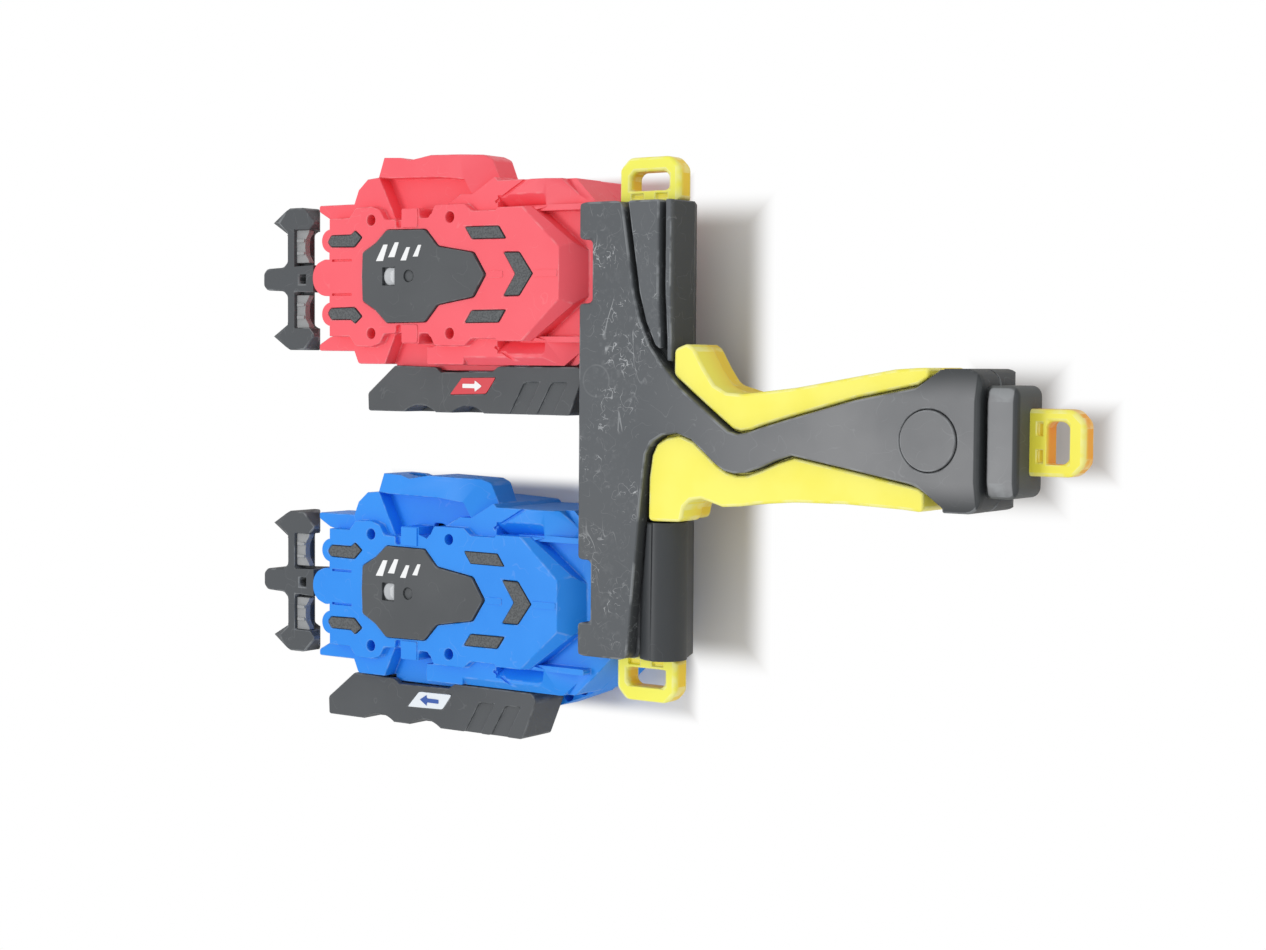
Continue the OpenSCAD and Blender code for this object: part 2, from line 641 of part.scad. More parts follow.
module crown_cover_shape()
    difference() {
        prism(crown_shares * (body_pc * crown_fit_share), deck_h - crown_depth + seat_gap,
            deck_h + crown_rise);
        // Recess of the D-shaped window, and the round one over the head axis
        intersection() {
            rod(window_r_share * body_pc, deck_h - crown_depth / 3, deck_h + crown_depth,
                [window_at_share * body_pc, 0]);
            block([window_shares[0] * body_pc, -window_shares[2] * body_pc, deck_h - crown_depth],
                [window_shares[1] * body_pc, window_shares[2] * body_pc, deck_h + crown_depth + cut]);
        }
        rod(dot_r_share * body_pc, deck_h, deck_h + crown_depth + cut);
    }

// Plain tapering bars, printed on the crown
module crown_marks_shape() {
    print_t = 0.15;
    mark_shares = [[0, 0], [2.6, 0], [4.4, 4.6], [2.8, 4.6]];
    first_share = -12;
    step_share = 4.6;
    row_shares = [4.4, 5.4];
    for (i = [0 : 3])
        translate([first_share + i * step_share, row_shares[i % 2], 0] * body_pc)
            prism(mark_shares * (body_pc * (1 - 0.1 * i)), deck_h + crown_rise,
                deck_h + crown_rise + print_t);
}

module grip_inserts_shape() {
    inset = 0.12;
    rise = 0.15;
    translate([0, 0, deck_h - insert_depth + seat_gap])
        linear_extrude(insert_depth + rise - seat_gap)
            for (shares = [insert_shares, flipped(insert_shares), slant_shares, flipped(slant_shares),
                chevron_shares])
                let (middle = sum_of(shares) / len(shares))
                    polygon([for (p = shares) (p + (middle - p) * inset / 4) * body_pc]);
}

function sum_of(list, i = 0) = i == len(list) - 1 ? list[i] : list[i] + sum_of(list, i + 1);

/* Reel, spring, cord */
module reel_shape()
    difference() {
        union() {
            translate([reel_at[0], 0, 0]) gear(reel_teeth, level_1, level_1 + gear_w, reel_turn);
            rod(cup_r, level_1, spool_low - flange_t, reel_at);
            rod(spool_r, spool_low - flange_t, spool_low, reel_at);
            rod(wrap_r - 5 * gear_mod, spool_low, spool_top, reel_at);
            rod(spool_r, spool_top, spool_top + flange_t, reel_at);
        }
        rod(axle_r + run_fit, level_1 - cut, spool_top + flange_t + cut, reel_at);
        // Room for the return spring, open to the floor
        rod(cup_r - wall / 1.5, level_1 - cut, spool_low - 2 * flange_t - slide_gap, reel_at);
    }

module return_spring_shape() {
    inner = axle_r + slide_gap;
    outer = cup_r - wall / 1.5 - 2 * slide_gap - strip_t;
    steps = 16;
    last = steps * spring_turns;
    function spiral(i, add) = let (r = inner + (outer - inner) * i / last + add, a = 360 * i / steps)
        r * [cos(a), sin(a)];
    points = concat([for (i = [0 : last]) spiral(i, 0)], [for (i = [last : -1 : 0]) spiral(i, strip_t)]);
    translate([reel_at[0], 0, 0])
        prism(points, level_1 + slide_gap, spool_low - 2 * flange_t - 2 * slide_gap);
}

module cord_winding_shape()
    difference() {
        rod(wrap_r - cord_d / 2 - slide_gap, spool_low + seat_gap, spool_top - seat_gap, reel_at);
        rod(wrap_r - 5 * gear_mod + seat_gap, spool_low, spool_top, reel_at);
    }

cord_bend = [cord_bend_share * body_pc, 0];
cord_run = norm(reel_at - cord_bend);
cord_turn = asin(wrap_r / cord_run);
cord_line = sqrt(cord_run * cord_run - wrap_r * wrap_r);
knot_at = stem_right - knot_back;

module pull_cord_shape() {
    translate([cord_bend[0], cord_bend[1], cord_h]) {
        rotate([0, 0, cord_turn]) rotate([0, 90, 0]) cylinder(r = cord_d / 2, h = cord_line, $fn = 24);
        sphere(r = cord_d * 0.58, $fn = 24);
    }
    rod_x(cord_d / 2, knot_at, cord_bend[0], [0, cord_h]);
    translate([knot_at, 0, cord_h]) sphere(r = cord_d * 0.75, $fn = 24);
}

module cord_bush_shape()
    difference() {
        union() {
            rod_x(bush_out, bush_end, cord_bend[0], [0, cord_h]);
            rod_x(bush_out + 0.8 * bush_wall, nose_end - bush_wall - seat_gap, nose_end - seat_gap,
                [0, cord_h]);
        }
        rod_x(cord_bore, bush_end - cut, cord_bend[0] + cut, [0, cord_h]);
    }

module axle_pins_shape() {
    rod(axle_r, well_h + floor_t / 2, roof_high - slide_gap, reel_at);
    rod(pin_r, well_h + floor_t / 2, roof_high - wall / 2 - slide_gap, first_at);
    rod(pin_r, well_h + floor_t / 2, roof_high - wall / 2 - slide_gap, second_at);
    rod(pin_r, well_h + floor_t / 2, roof_high - wall / 2 - slide_gap, guide_at);
}

module idler_shape(at, low, high, turn)
    difference() {
        translate([at[0], at[1], 0]) gear(pinion_teeth, low, high, turn);
        rod(pin_r + run_fit, low - cut, high + cut, at);
    }

module output_gear_shape(side) {
    low = side == RED ? level_1 : level_3;
    top = low + gear_w + neck_h + collar_t;
    difference() {
        union() {
            gear(pinion_teeth, low, low + gear_w, head_turn);
            rod(neck_r, low + gear_w, top - collar_t);
            rod(collar_r, top - collar_t, top);
        }
        intersection() {
            rod(spindle_r + run_fit, low - cut, top + cut);
            block([-spindle_r - cut, -flat_half - run_fit, low - cut],
                [spindle_r + cut, flat_half + run_fit, top + cut]);
        }
    }
}

/* Launch head: disc, socket, two hooked prongs and the spindle with its flats */
module sector(from, to, low, high) {
    reach = 2 * head_r;
    prism([[0, 0], reach * [cos(from), sin(from)], reach * [cos(to), sin(to)]], low, high);
}

module launch_head_shape() {
    prong_turn = 15;
    hook_turn = 32;
    hook_low = prong_low + head_t / 2;
    prong_out = head_r - slide_gap;
    difference() {
        union() {
            rod(head_r, head_top - head_t, head_top);
            rod(socket_r + socket_wall, socket_low, head_top);
            for (a = [0, 180]) intersection() {
                rod(prong_out, prong_low, head_top - head_t / 2);
                union() {
                    sector(a - prong_turn, a + prong_turn, prong_low, head_top - head_t / 2);
                    sector(a, a + hook_turn, prong_low, hook_low);
                }
            }
        }
        // Room between the prongs for the top's hub
        difference() {
            rod(prong_in, prong_low - cut, head_top - head_t);
            rod(socket_r + socket_wall, socket_low, head_top);
        }
        rod(socket_r, socket_low - cut, head_top - head_t / 4);
    }
    rod(spindle_r, head_top - head_t / 4, floor_h);
    intersection() {
        rod(spindle_r, floor_h, level_3 + level_step + neck_h + wall);
        block([-head_r, -flat_half, floor_h], [head_r, flat_half, deck_h]);
    }
    rod(spindle_r, level_3 + level_step + neck_h + wall, spindle_top);
}

module head_bush_shape()
    difference() {
        rod(bush_r, head_top + slide_gap, floor_h);
        rod(spindle_r + run_fit, head_top, floor_h + cut);
    }

/* Shift fork */
module shift_fork_shape(side) {
    low = (side == RED ? level_1 : level_3) + fork_h;
    difference() {
        union() {
            block([-fork_arm / 2, -fork_reach, low], [fork_arm / 2, -neck_r, low + fork_t]);
            block([-fork_half, -fork_half, low], [fork_half, neck_r, low + fork_t]);
            rod(guide_eye_r, low, low + fork_t, guide_at);
            block([guide_at[0], guide_at[1] - guide_eye_r / 2, low],
                [0, guide_at[1] + guide_eye_r / 2, low + fork_t]);
        }
        rod(neck_r + slide_gap, low - cut, low + fork_t + cut);
        block([-neck_r - slide_gap, 0, low - cut], [neck_r + slide_gap, 2 * neck_r, low + fork_t + cut]);
        rod(pin_r + run_fit, low - cut, low + fork_t + cut, guide_at);
    }
    translate([0, -fork_reach + cut, low + fork_t / 2]) rotate([90, 0, 0])
        cylinder(r = fork_pin_r, h = -cam_in + cam_t - fork_reach + cut);
}

// Length and left end of the selector's cam plate
function cam_len() = selector_travel + 2 * (fork_pin_r + cam_margin);
function cam_left(side) = -(fork_pin_r + cam_margin) - (side == RED ? 0 : selector_travel);
cam_low = level_1 + fork_h + fork_t / 2;
cam_rise = level_3 - level_1;
cam_top = cam_low + cam_rise + fork_pin_r + cam_clear + cam_margin;

// Slanted slot that lifts the fork's pin as the bar slides
module cam_slot(left) {
    start = left + fork_pin_r + cam_margin;
    slope = atan(cam_rise / selector_travel);
    run = norm([cam_rise, selector_travel]);
    r = fork_pin_r + cam_clear;
    translate([start, cam_in + cut, cam_low]) rotate([0, -slope, 0]) {
        rotate([90, 0, 0]) cylinder(r = r, h = cam_t + 2 * cut);
        translate([run, 0, 0]) rotate([90, 0, 0]) cylinder(r = r, h = cam_t + 2 * cut);
        block([0, -cam_t - 2 * cut, -r], [run, 0, r]);
    }
}

/* Selector bar */
bar_shares = [[0, -8.1], [10.4, 0], [25.6, -0.4], [27.6, -1.8], [46.2, -1.4], [48.2, 0], [76, 0],
    [77.6, -2.1], [72.9, -13.2], [0.2, -13.2]];
bar_pc = bar_len / 77.6;
bar_wide_pc = bar_out / 13.2;
// Two finger scallops in the upper half, and two shallow slanted bands
scallop_at_shares = [19.8, 37.3];
scallop_r = 9.6;
scallop_depth = 1.9;
band_shares = [[57.4, -4.4], [62.8, -4.2], [57.6, -13.6], [52, -13.6]];
band_step_share = 9.4;
band_depth = 0.6;
rail_room = 1.7;
rail_room_shares = [8.3, 66.4];
scallop_low_share = 0.42;

module selector_bar_shape(side) {
    left = bar_red - (side == RED ? 0 : selector_travel);
    cam = cam_left(side);
    difference() {
        union() {
            difference() {
                translate([left, bar_in, 0])
                    prism([for (p = bar_shares) [p[0] * bar_pc, p[1] * bar_wide_pc]], bar_low, bar_top);
                for (x = scallop_at_shares)
                    rod(scallop_r, bar_low + bar_h * scallop_low_share, bar_top + cut,
                        [left + x * bar_pc, bar_in - bar_out + scallop_depth - scallop_r]);
                for (i = [0, 1])
                    translate([left + i * band_step_share * bar_pc, bar_in, 0])
                        prism([for (p = band_shares) [p[0] * bar_pc, p[1] * bar_wide_pc]],
                            bar_top - band_depth, bar_top + cut);
                // Room for the rail along the case
                block([left + rail_room_shares[0] * bar_pc, bar_in - rail_room, cam_top - slide_gap],
                    [left + rail_room_shares[1] * bar_pc, bar_in + cut, low_h + slide_gap]);
                prism(label_points(left), bar_top - label_t, bar_top + cut);
            }
            // Web through the case's wall and the cam plate inside
            block([cam + (cam_len() - web_len) / 2, bar_in - cut, bar_low + slide_gap],
                [cam + (cam_len() + web_len) / 2, cam_in - cam_t / 2, cam_top - slide_gap]);
            block([cam, cam_in - cam_t, floor_h + 2 * slide_gap], [cam + cam_len(), cam_in, cam_top]);
        }
        cam_slot(cam);
    }
}

label_t = 0.8;
label_shares = [[31, -8.1], [35.3, -3.4], [47.4, -3.2], [44, -7.7]];
label_middle_shares = [39.2, -5.6];
function label_points(left) =
    [for (p = label_shares) [left + p[0] * bar_pc, bar_in + p[1] * bar_wide_pc]];

// Label plate with a plain arrow raised on it
module selector_label_shape(side) {
    left = bar_red - (side == RED ? 0 : selector_travel);
    arrow_shares = [[-3.5, 0], [-0.9, 1.6], [-0.9, 0.6], [3.5, 0.6], [3.5, -0.6], [-0.9, -0.6],
        [-0.9, -1.6]];
    arrow_t = 0.15;
    plate_top = bar_top + slide_gap / 3;
    prism(label_points(left), bar_top - label_t + seat_gap, plate_top);
    translate([left + label_middle_shares[0] * bar_pc, bar_in + label_middle_shares[1] * bar_wide_pc, 0])
        rotate([0, 0, side == RED ? 180 : 0])
            prism(arrow_shares * bar_pc, plate_top, plate_top + arrow_t);
}

/* Pull handle */
rim_h = 1.9;
pad_drop = 3.2;
pad_sink = 1;
under_turn = 42;
// Places along and across the handle's lobes, the latter as shares of half its width
lobe_along = [0, -8, 0.7, 6.5, 11, 8.8, 2.7];
lobe_across_shares = [0.63, 0.81, 1, 1, 0.79, 0.69, 0.69];
lobe_tip = [-3.6, 0.8];
tip_bearings = [139, 230];
tip_slopes = [32, 40];
// Wavy front edge of the finger pads
wave_along = [7.9, 7.6, 6.4, 6.2, 6.4, 7.6, 7.9];
wave_across_shares = [0.2, 0.26, 0.34, 0.45, 0.56, 0.64, 0.69];
stem_corner = 1.4;
stem_taper_share = 0.81;
stem_foot = 2.2;
stem_foot_share = 0.25;

// Waste below the sloping underside, down from the front edge
module under_waste(right)
    translate([right, 0, handle_top - rim_h]) rotate([0, under_turn, 0])
        translate([0, -handle_span, -handle_span])
            cube([handle_span, 2 * handle_span, 2 * handle_span]);

module handle_half() {
    tip = [web_left + lobe_tip[0], half_span * lobe_tip[1]];
    difference() {
        prism([for (i = [0 : 6]) [web_left + lobe_along[i], half_span * lobe_across_shares[i]]],
            handle_low, handle_top);
        for (i = [0, 1]) {
            slope_waste(tip, handle_top, tip_bearings[i], tip_slopes[i], half_span);
            mirror([0, 0, 1]) slope_waste(tip, -handle_low, tip_bearings[i], tip_slopes[i], half_span);
        }
        under_waste(web_left + lobe_along[4]);
    }
    difference() {
        union() {
            block([web_left, 0, handle_low],
                [web_left + web_t, half_span * wave_across_shares[6], handle_top]);
            prism(concat([[web_left, 0], [web_left, half_span * wave_across_shares[6]]],
                [for (i = [6 : -1 : 0]) [web_left + wave_along[i], half_span * wave_across_shares[i]]],
                [[web_left + wave_along[0], 0]]), handle_low, handle_top - pad_drop);
        }
        under_waste(web_left + lobe_along[5]);
    }
    prism([[web_left - stem_foot, 0], [web_left - stem_foot, stem_w * stem_taper_share / 2],
        [web_left, half_span * stem_foot_share], [web_left, 0]], handle_low + wall / 4, handle_top);
}

knot_hole = 2.8;

module pull_handle_shape()
    difference() {
        union() {
            half = stem_w / 2;
            prism([[stem_left, -half * stem_taper_share + stem_corner],
                [stem_left, half * stem_taper_share - stem_corner],
                [stem_left + stem_corner, half * stem_taper_share], [stem_right, half],
                [stem_right, -half], [stem_left + stem_corner, -half * stem_taper_share]],
                handle_low + wall / 4, handle_top);
            handle_half();
            mirror([0, 1, 0]) handle_half();
        }
        rod_x(cord_bore - slide_gap / 2, knot_at, stem_right + cut, [0, cord_h]);
        block([knot_at - knot_hole / 2, -knot_hole / 2, cord_h - knot_hole / 2],
            [knot_at + knot_hole / 2, knot_hole / 2, handle_top + cut]);
    }

// Ribbed finger pads on the handle's ledge
module handle_pads_shape() {
    low = handle_top - pad_drop + seat_gap;
    high = handle_top - pad_sink;
    left = web_left + web_t + seat_gap;
    rib_w = 0.9;
    rib_h = 0.5;
    rib_at_shares = [0.362, 0.538];
    for (s = [-1, 1])
        mirror([0, s > 0 ? 0 : 1, 0]) {
            inner = half_span * wave_across_shares[0] + wall / 4;
            outer = half_span * wave_across_shares[6] - seat_gap;
            prism(concat([[left, inner], [left, outer], [web_left + wave_along[6], outer]],
                [for (i = [5 : -1 : 1]) [web_left + wave_along[i], half_span * wave_across_shares[i]]],
                [[web_left + wave_along[0], inner]]), low, high);
            for (share = rib_at_shares)
                block([left + rib_w / 2, half_span * share - rib_w / 2, low],
                    [web_left + wave_along[3], half_span * share + rib_w / 2, high + rib_h]);
        }
}

module case_screws_shape()
    for (p = post_places) {
        rod(screw_r, screw_head_h, roof_low - wall, p);
        difference() {
            rod(screw_head_r, slide_gap, screw_head_h + seat_gap, p);
            for (a = [0, 90])
                translate([p[0], p[1], 0]) rotate([0, 0, a])
                    block([-screw_head_r / 2, -screw_r / 4, -cut],
                        [screw_head_r / 2, screw_r / 4, screw_head_h / 2]);
        }
    }

/* Grip */
function notch(ends) = [[0, ends[0] * cross_pc], [notch_in, ends[0] * cross_pc],
    [notch_in, ends[1] * cross_pc], [0, ends[1] * cross_pc]];

function spine_outline() = concat([[0, -half_cross]], notch(lower_notch_shares), notch(upper_notch_shares),
    [[0, half_cross], [spine_end_share * handle_pc, half_cross]],
    spine_upper_shares * handle_pc,
    [[pommel_end_share, pommel_half_share] * handle_pc, [pommel_end_share, -pommel_half_share] * handle_pc],
    spine_lower_shares * handle_pc,
    [[spine_foot_share * handle_pc, -half_cross]]);

module pommel_block(low, high)
    block([pommel_seam_share * handle_pc, -pommel_half_share * handle_pc, low],
        [pommel_end_share * handle_pc, pommel_half_share * handle_pc, high]);

module pommel_slopes()
    for (s = [-1, 1])
        slope_waste([pommel_slope_share, s * pommel_flat_share] * handle_pc, grip_top, s * 90, 14,
            handle_len / 4);

module spine_cover_shape() {
    recess = 1.2;
    difference() {
        union() {
            prism(spine_outline(), plate_low, grip_top);
            pommel_block(grip_mid + seat_gap, grip_top);
            rod(disc_r + wall, plate_low - wall, plate_low + cut, [disc_at, 0]);
        }
        pommel_slopes();
        rod(disc_r + slide_gap, grip_top - recess, grip_top + cut, [disc_at, 0]);
        block([pommel_seam_share * handle_pc + wall, -pommel_half_share * handle_pc + 2 * wall, grip_low],
            [pommel_end_share * handle_pc - wall, pommel_half_share * handle_pc - 2 * wall, plate_low]);
    }
}

module thumb_disc_shape() {
    recess = 1.2;
    rise = 0.5;
    rod(disc_r, grip_top - recess + seat_gap, grip_top + rise, [disc_at, 0]);
}

// Tray of the crossbar: floor, walls, ribs and the docks' windows
module crossbar_shell_shape() {
    rib_w = 2;
    top = plate_low - seat_gap;
    difference() {
        block([tray_front, -half_cross, grip_low], [tray_back - barrel_r, half_cross, top]);
        block([tray_front + wall, -half_cross + wall, grip_low + wall],
            [tray_back - barrel_r - wall, half_cross - wall, top + cut]);
        for (s = [-1, 1]) {
            y = s * launcher_pitch / 2 - grip_offset;
            block([tray_front - cut, y - tongue_half - slide_gap, split_h],
                [tray_front + wall + cut, y + tongue_half + slide_gap, split_h + tongue_t + 2 * slide_gap]);
        }
    }
    for (y = [-half_cross / 2, 0, half_cross / 2])
        block([tray_front + wall / 2, y - rib_w / 2, grip_low + wall / 2],
            [tray_back - barrel_r - wall / 2, y + rib_w / 2, split_h - slide_gap]);
}

module back_section(points, low, high)
    translate([0, high, 0]) rotate([90, 0, 0]) linear_extrude(high - low) polygon(points);

barrel_end_share = -23.9;
barrel_cut_shares = [20.8, 16.7];

// Round back of the crossbar's lower half
module barrel_cover_shape() {
    left = tray_back - barrel_r + seat_gap;
    axis_h = grip_top - barrel_drop;
    difference() {
        union() {
            translate([barrel_at, barrel_end_share * handle_pc, axis_h]) rotate([90, 0, 0])
                cylinder(r = barrel_r, h = half_cross + barrel_end_share * handle_pc);
            back_section([[left, grip_low + wall], [barrel_at, grip_low], [barrel_at + barrel_r, axis_h],
                [left, axis_h]], -half_cross, barrel_end_share * handle_pc);
        }
        block([0, -half_cross - cut, grip_low], [left, half_cross, grip_top]);
        back_section([[left + wall, grip_low + 2 * wall], [barrel_at, grip_low + 2 * wall],
            [barrel_at + barrel_r - 2 * wall, axis_h], [left + wall, axis_h]],
            -half_cross + wall, barrel_end_share * handle_pc - wall);
        prism([[0, -half_cross - cut], [0, barrel_end_share * handle_pc + cut],
            [barrel_cut_shares[0] * handle_pc, barrel_end_share * handle_pc + cut],
            [barrel_cut_shares[1] * handle_pc, -half_cross - cut]], plate_low - seat_gap, grip_top);
    }
}

// Cover of the crossbar's upper half, beside the spine
shoulder_gap = 1.4;
shoulder_sink = 0.6;
shoulder_shape_shares = [26.9, 27.6, 28.9, 28.5];
shoulder_groove = 1.8;
shoulder_tip_shares = [23, 21.5];
shoulder_along_shares = [18.6, 24.5, 36];
module shoulder_cover_shape() {
    right = shoulder_shape_shares[0] * handle_pc;
    waist = shoulder_shape_shares[1] * handle_pc;
    left = tray_back - barrel_r + seat_gap;
    shoulder_low = shoulder_along_shares[0] * handle_pc;
    inner = [for (p = concat([[spine_end_share, 0]], spine_upper_shares))
        if (p[0] < shoulder_tip_shares[0])
        [p[0] * handle_pc + shoulder_gap, p[0] == spine_end_share ? half_cross : p[1] * handle_pc]];
    rise = grip_top - shoulder_sink;
    difference() {
        union() {
            prism(concat(inner, [for (p = [[waist, shoulder_tip_shares[1] * handle_pc],
                [waist, shoulder_along_shares[1] * handle_pc],
                [right, shoulder_along_shares[2] * handle_pc], [right, half_cross]])
                [p[0] - shoulder_groove, p[1]]]), plate_low, rise);
            prism([[waist, shoulder_low], [waist, shoulder_along_shares[1] * handle_pc],
                [right, shoulder_along_shares[2] * handle_pc], [right, half_cross],
                [shoulder_shape_shares[3] * handle_pc, half_cross],
                [shoulder_shape_shares[3] * handle_pc, shoulder_along_shares[2] * handle_pc],
                [shoulder_shape_shares[2] * handle_pc, shoulder_along_shares[1] * handle_pc],
                [shoulder_shape_shares[2] * handle_pc, shoulder_low]],
                plate_low - wall, rise - shoulder_sink);
            back_section([[left, grip_low + wall], [barrel_at, grip_low],
                [shoulder_shape_shares[2] * handle_pc, grip_mid],
                [shoulder_shape_shares[3] * handle_pc, plate_low + seat_gap], [left, plate_low + seat_gap]],
                shoulder_low, half_cross);
        }
        back_section([[left + wall, grip_low + 2 * wall], [barrel_at, grip_low + 2 * wall],
            [right - wall, grip_mid], [right - wall, plate_low - wall], [left + wall, plate_low - wall]],
            shoulder_low + wall, half_cross - wall);
    }
}

// Quarter of the side panels, hollow inside; the back ones' arms are narrower
arm_shares = [31, 43, 3.4];
module panel(outer, inner, edge, hollow, low, high) {
    front = high > grip_mid;
    side = [for (p = outer)
        p - [front || p[0] < arm_shares[0] || p[0] > arm_shares[1] ? 0 : arm_shares[2], 0]];
    difference() {
        union() {
            prism(concat(side, edge) * handle_pc, front ? low : grip_low + panel_step,
                front ? grip_top - panel_step : high);
            prism(concat(side, inner) * handle_pc, low, high);
        }
        prism([for (p = hollow) if (front || p[0] > arm_shares[1]) p * handle_pc],
            front ? low - cut : low + wall, front ? high - wall : high + cut);
    }
}

panel_step = 2;
upper_hollow_shares = [[31.5, 16], [31.5, 20.3], [33.4, 20.6], [36.6, 15.5], [40.5, 10.4], [45, 8.3],
    [50, 8.1], [54.5, 8.5], [66, 9.9], [80, 12.3], [92, 14.5], [100.4, 15.2], [100.4, 12.2], [83.5, 8.8],
    [64, 3.7], [55.5, 1.9], [49.9, 0.5], [45.5, 2.5], [40.5, 6.1], [34, 10.8]];
lower_hollow_shares = [[99, -15], [96, -14.6], [80, -14], [66, -14.2], [54, -15.2], [44.5, -16.3],
    [38, -14.6], [33.8, -15.2], [30.6, -17.8], [29.8, -21], [23.8, -21.2], [24.2, -11], [25.8, -3],
    [29, -0.2], [35.2, -1.2], [44, -6.6], [49, -8.5], [56, -6.9], [65.8, -4.1], [82.6, -7], [97.8, -10.6]];

upper_edge_shares = [[103, 15.2], [100.2, 13.3], [83.7, 10], [64.4, 4.8], [56.1, 2.4], [53, 1.3],
    [49.9, 0.8], [47.4, 1.5], [44.8, 3.4], [39.3, 7.4], [32.7, 12.4]];
lower_edge_shares = [[102, -12.6], [100.6, -11.5], [83, -8.3], [65.8, -5.3], [61, -6.8], [56.2, -8.8],
    [52, -10.2], [48.9, -10.4], [45.8, -9.7], [43.1, -8.2], [39.1, -5], [35.5, -2.1], [31.3, -0.6],
    [27.2, -1.3], [24.1, -3], [22.5, -6]];

module upper_panel(low, high)
    panel(upper_panel_shares, upper_inner_shares, upper_edge_shares, upper_hollow_shares, low, high);

module lower_panel(low, high)
    panel(lower_panel_shares, lower_inner_reversed, lower_edge_reversed, lower_hollow_shares, low, high);

lower_edge_reversed = [for (i = [len(lower_edge_shares) - 1 : -1 : 0]) lower_edge_shares[i]];
lower_inner_reversed = [for (i = [len(lower_inner_shares) - 1 : -1 : 0]) lower_inner_shares[i]];

back_start_shares = [28.9, 15.2];

module back_cover_shape() {
    end = pommel_end_share * handle_pc;
    difference() {
        union() {
            prism(concat([back_start_shares],
                [for (p = spine_upper_shares) if (p[0] > back_start_shares[0]) p],
                [[pommel_end_share, pommel_half_share], [pommel_end_share, -pommel_half_share]],
                [for (p = spine_lower_shares) if (p[0] > back_start_shares[0]) p]) * handle_pc,
                grip_low, grip_low + plate_t);
            pommel_block(grip_low, grip_mid - seat_gap);
        }
        back_section([[end - wall, grip_low - cut], [end + cut, grip_low + 3 * wall],
            [end + cut, grip_low - cut]], -half_cross, half_cross);
        block([pommel_seam_share * handle_pc + wall, -pommel_half_share * handle_pc + 2 * wall,
            grip_low + plate_t],
            [pommel_end_share * handle_pc - wall, pommel_half_share * handle_pc - 2 * wall, grip_top]);
        for (p = grip_screw_places) {
            rod(screw_r + run_fit, grip_low - cut, grip_low + 2 * plate_t, p);
            rod(screw_head_r + slide_gap, grip_low - cut, grip_low + screw_head_h, p);
        }
    }
}

grip_screw_shares = [[35, 3.6], [52.5, -3.4], [84, 0.8], [112, 0]];
grip_screw_places = grip_screw_shares * handle_pc;

module grip_screws_shape()
    for (p = grip_screw_places) {
        rod(screw_r, grip_low + screw_head_h, grip_low + 2 * plate_t, p);
        rod(screw_head_r, grip_low + slide_gap, grip_low + screw_head_h, p);
    }

cap_half_share = 13.4;

module pommel_cap_shape() {
    half = cap_half_share * handle_pc;
    inset = 1.6;
    floor_h = grip_mid - loop_t / 2 - seat_gap;
    difference() {
        union() {
            block([cap_front - slide_gap, -half, floor_h - wall],
                [cap_front + cap_len, half, grip_top - inset]);
            block([pommel_end_share * handle_pc + seat_gap, -half - inset, floor_h - wall],
                [cap_front + 2 * seat_gap, half + inset, grip_top - 2 * inset]);
        }
        block([cap_front + wall, -half + wall, floor_h],
            [cap_front + cap_len - wall, half - wall, grip_top - inset - wall]);
        block([cap_front + wall, -loop_w / 2 - seat_gap, floor_h],
            [cap_front + cap_len + cut, loop_w / 2 + seat_gap, grip_mid + loop_t / 2 + seat_gap]);
    }
}

// Strap loop: root at x = 0, reaching along +x, lying flat
module strap_loop(width, reach, root, seat) {
    side = width / 6 + loop_t / 24;
    hole = reach - root - tip_bar;
    corner = 3;
    far = root + hole;
    half = width / 2;
    difference() {
        prism([[seat, -half], [reach - corner, -half], [reach, -half + corner], [reach, half - corner],
            [reach - corner, half], [seat, half]], -loop_t / 2, loop_t / 2);
        prism([[root, -half + side], [far - corner / 2, -half + side], [far, -half + side + corner / 2],
            [far, half - side - corner / 2], [far - corner / 2, half - side], [root, half - side]],
            -loop_t, loop_t);
        for (s = [-1, 1]) for (face = [-1, 1])
            translate([root / 2, s * width / 5, face * loop_t / 2])
                cube([root / 2, width / 5, loop_t / 3], center = true);
    }
}

// The loops on the crossbar are seated flush on its end walls
module bar_loop(side)
    translate([side_loop_at, sign_of(side) * half_cross, grip_mid]) rotate([0, 0, sign_of(side) * 90])
        strap_loop(side_loop_w, side_loop_reach, side_loop_reach / 4, seat_gap);

/* Red launcher */
module red_top_shell() color(red_plastic) at_launcher(RED) top_shell_shape(RED);
module red_bottom_shell() color(red_plastic) at_launcher(RED) bottom_shell_shape();
module red_crown_cover() color(black_plastic) at_launcher(RED) crown_cover_shape();
module red_crown_marks() color(white_plastic) at_launcher(RED) crown_marks_shape();
module red_grip_inserts() color(black_plastic) at_launcher(RED) grip_inserts_shape();
module red_selector_bar() color(black_plastic) at_launcher(RED) selector_bar_shape(RED);
module red_selector_label() color(red_plastic) at_launcher(RED) selector_label_shape(RED);
module red_pull_handle() color(black_plastic) at_launcher(RED) pull_handle_shape();
module red_handle_pads() color(grey_plastic) at_launcher(RED) handle_pads_shape();
module red_pull_cord() color(cord_colour) at_launcher(RED) pull_cord_shape();
module red_cord_bush() color(black_plastic) at_launcher(RED) cord_bush_shape();
module red_reel() color(white_plastic) at_launcher(RED) reel_shape();
module red_cord_winding() color(cord_colour) at_launcher(RED) cord_winding_shape();
module red_return_spring() color(steel) at_launcher(RED) return_spring_shape();
module red_axle_pins() color(steel) at_launcher(RED) axle_pins_shape();
module red_first_idler() color(white_plastic) at_launcher(RED)
    idler_shape(first_at, level_1, level_3 - level_gap, 0);
module red_second_idler() color(white_plastic) at_launcher(RED)
    idler_shape(second_at, level_2, level_3 + gear_w, second_turn);
module red_output_gear() color(white_plastic) at_launcher(RED) output_gear_shape(RED);
module red_launch_head() color(black_plastic) at_launcher(RED) launch_head_shape();
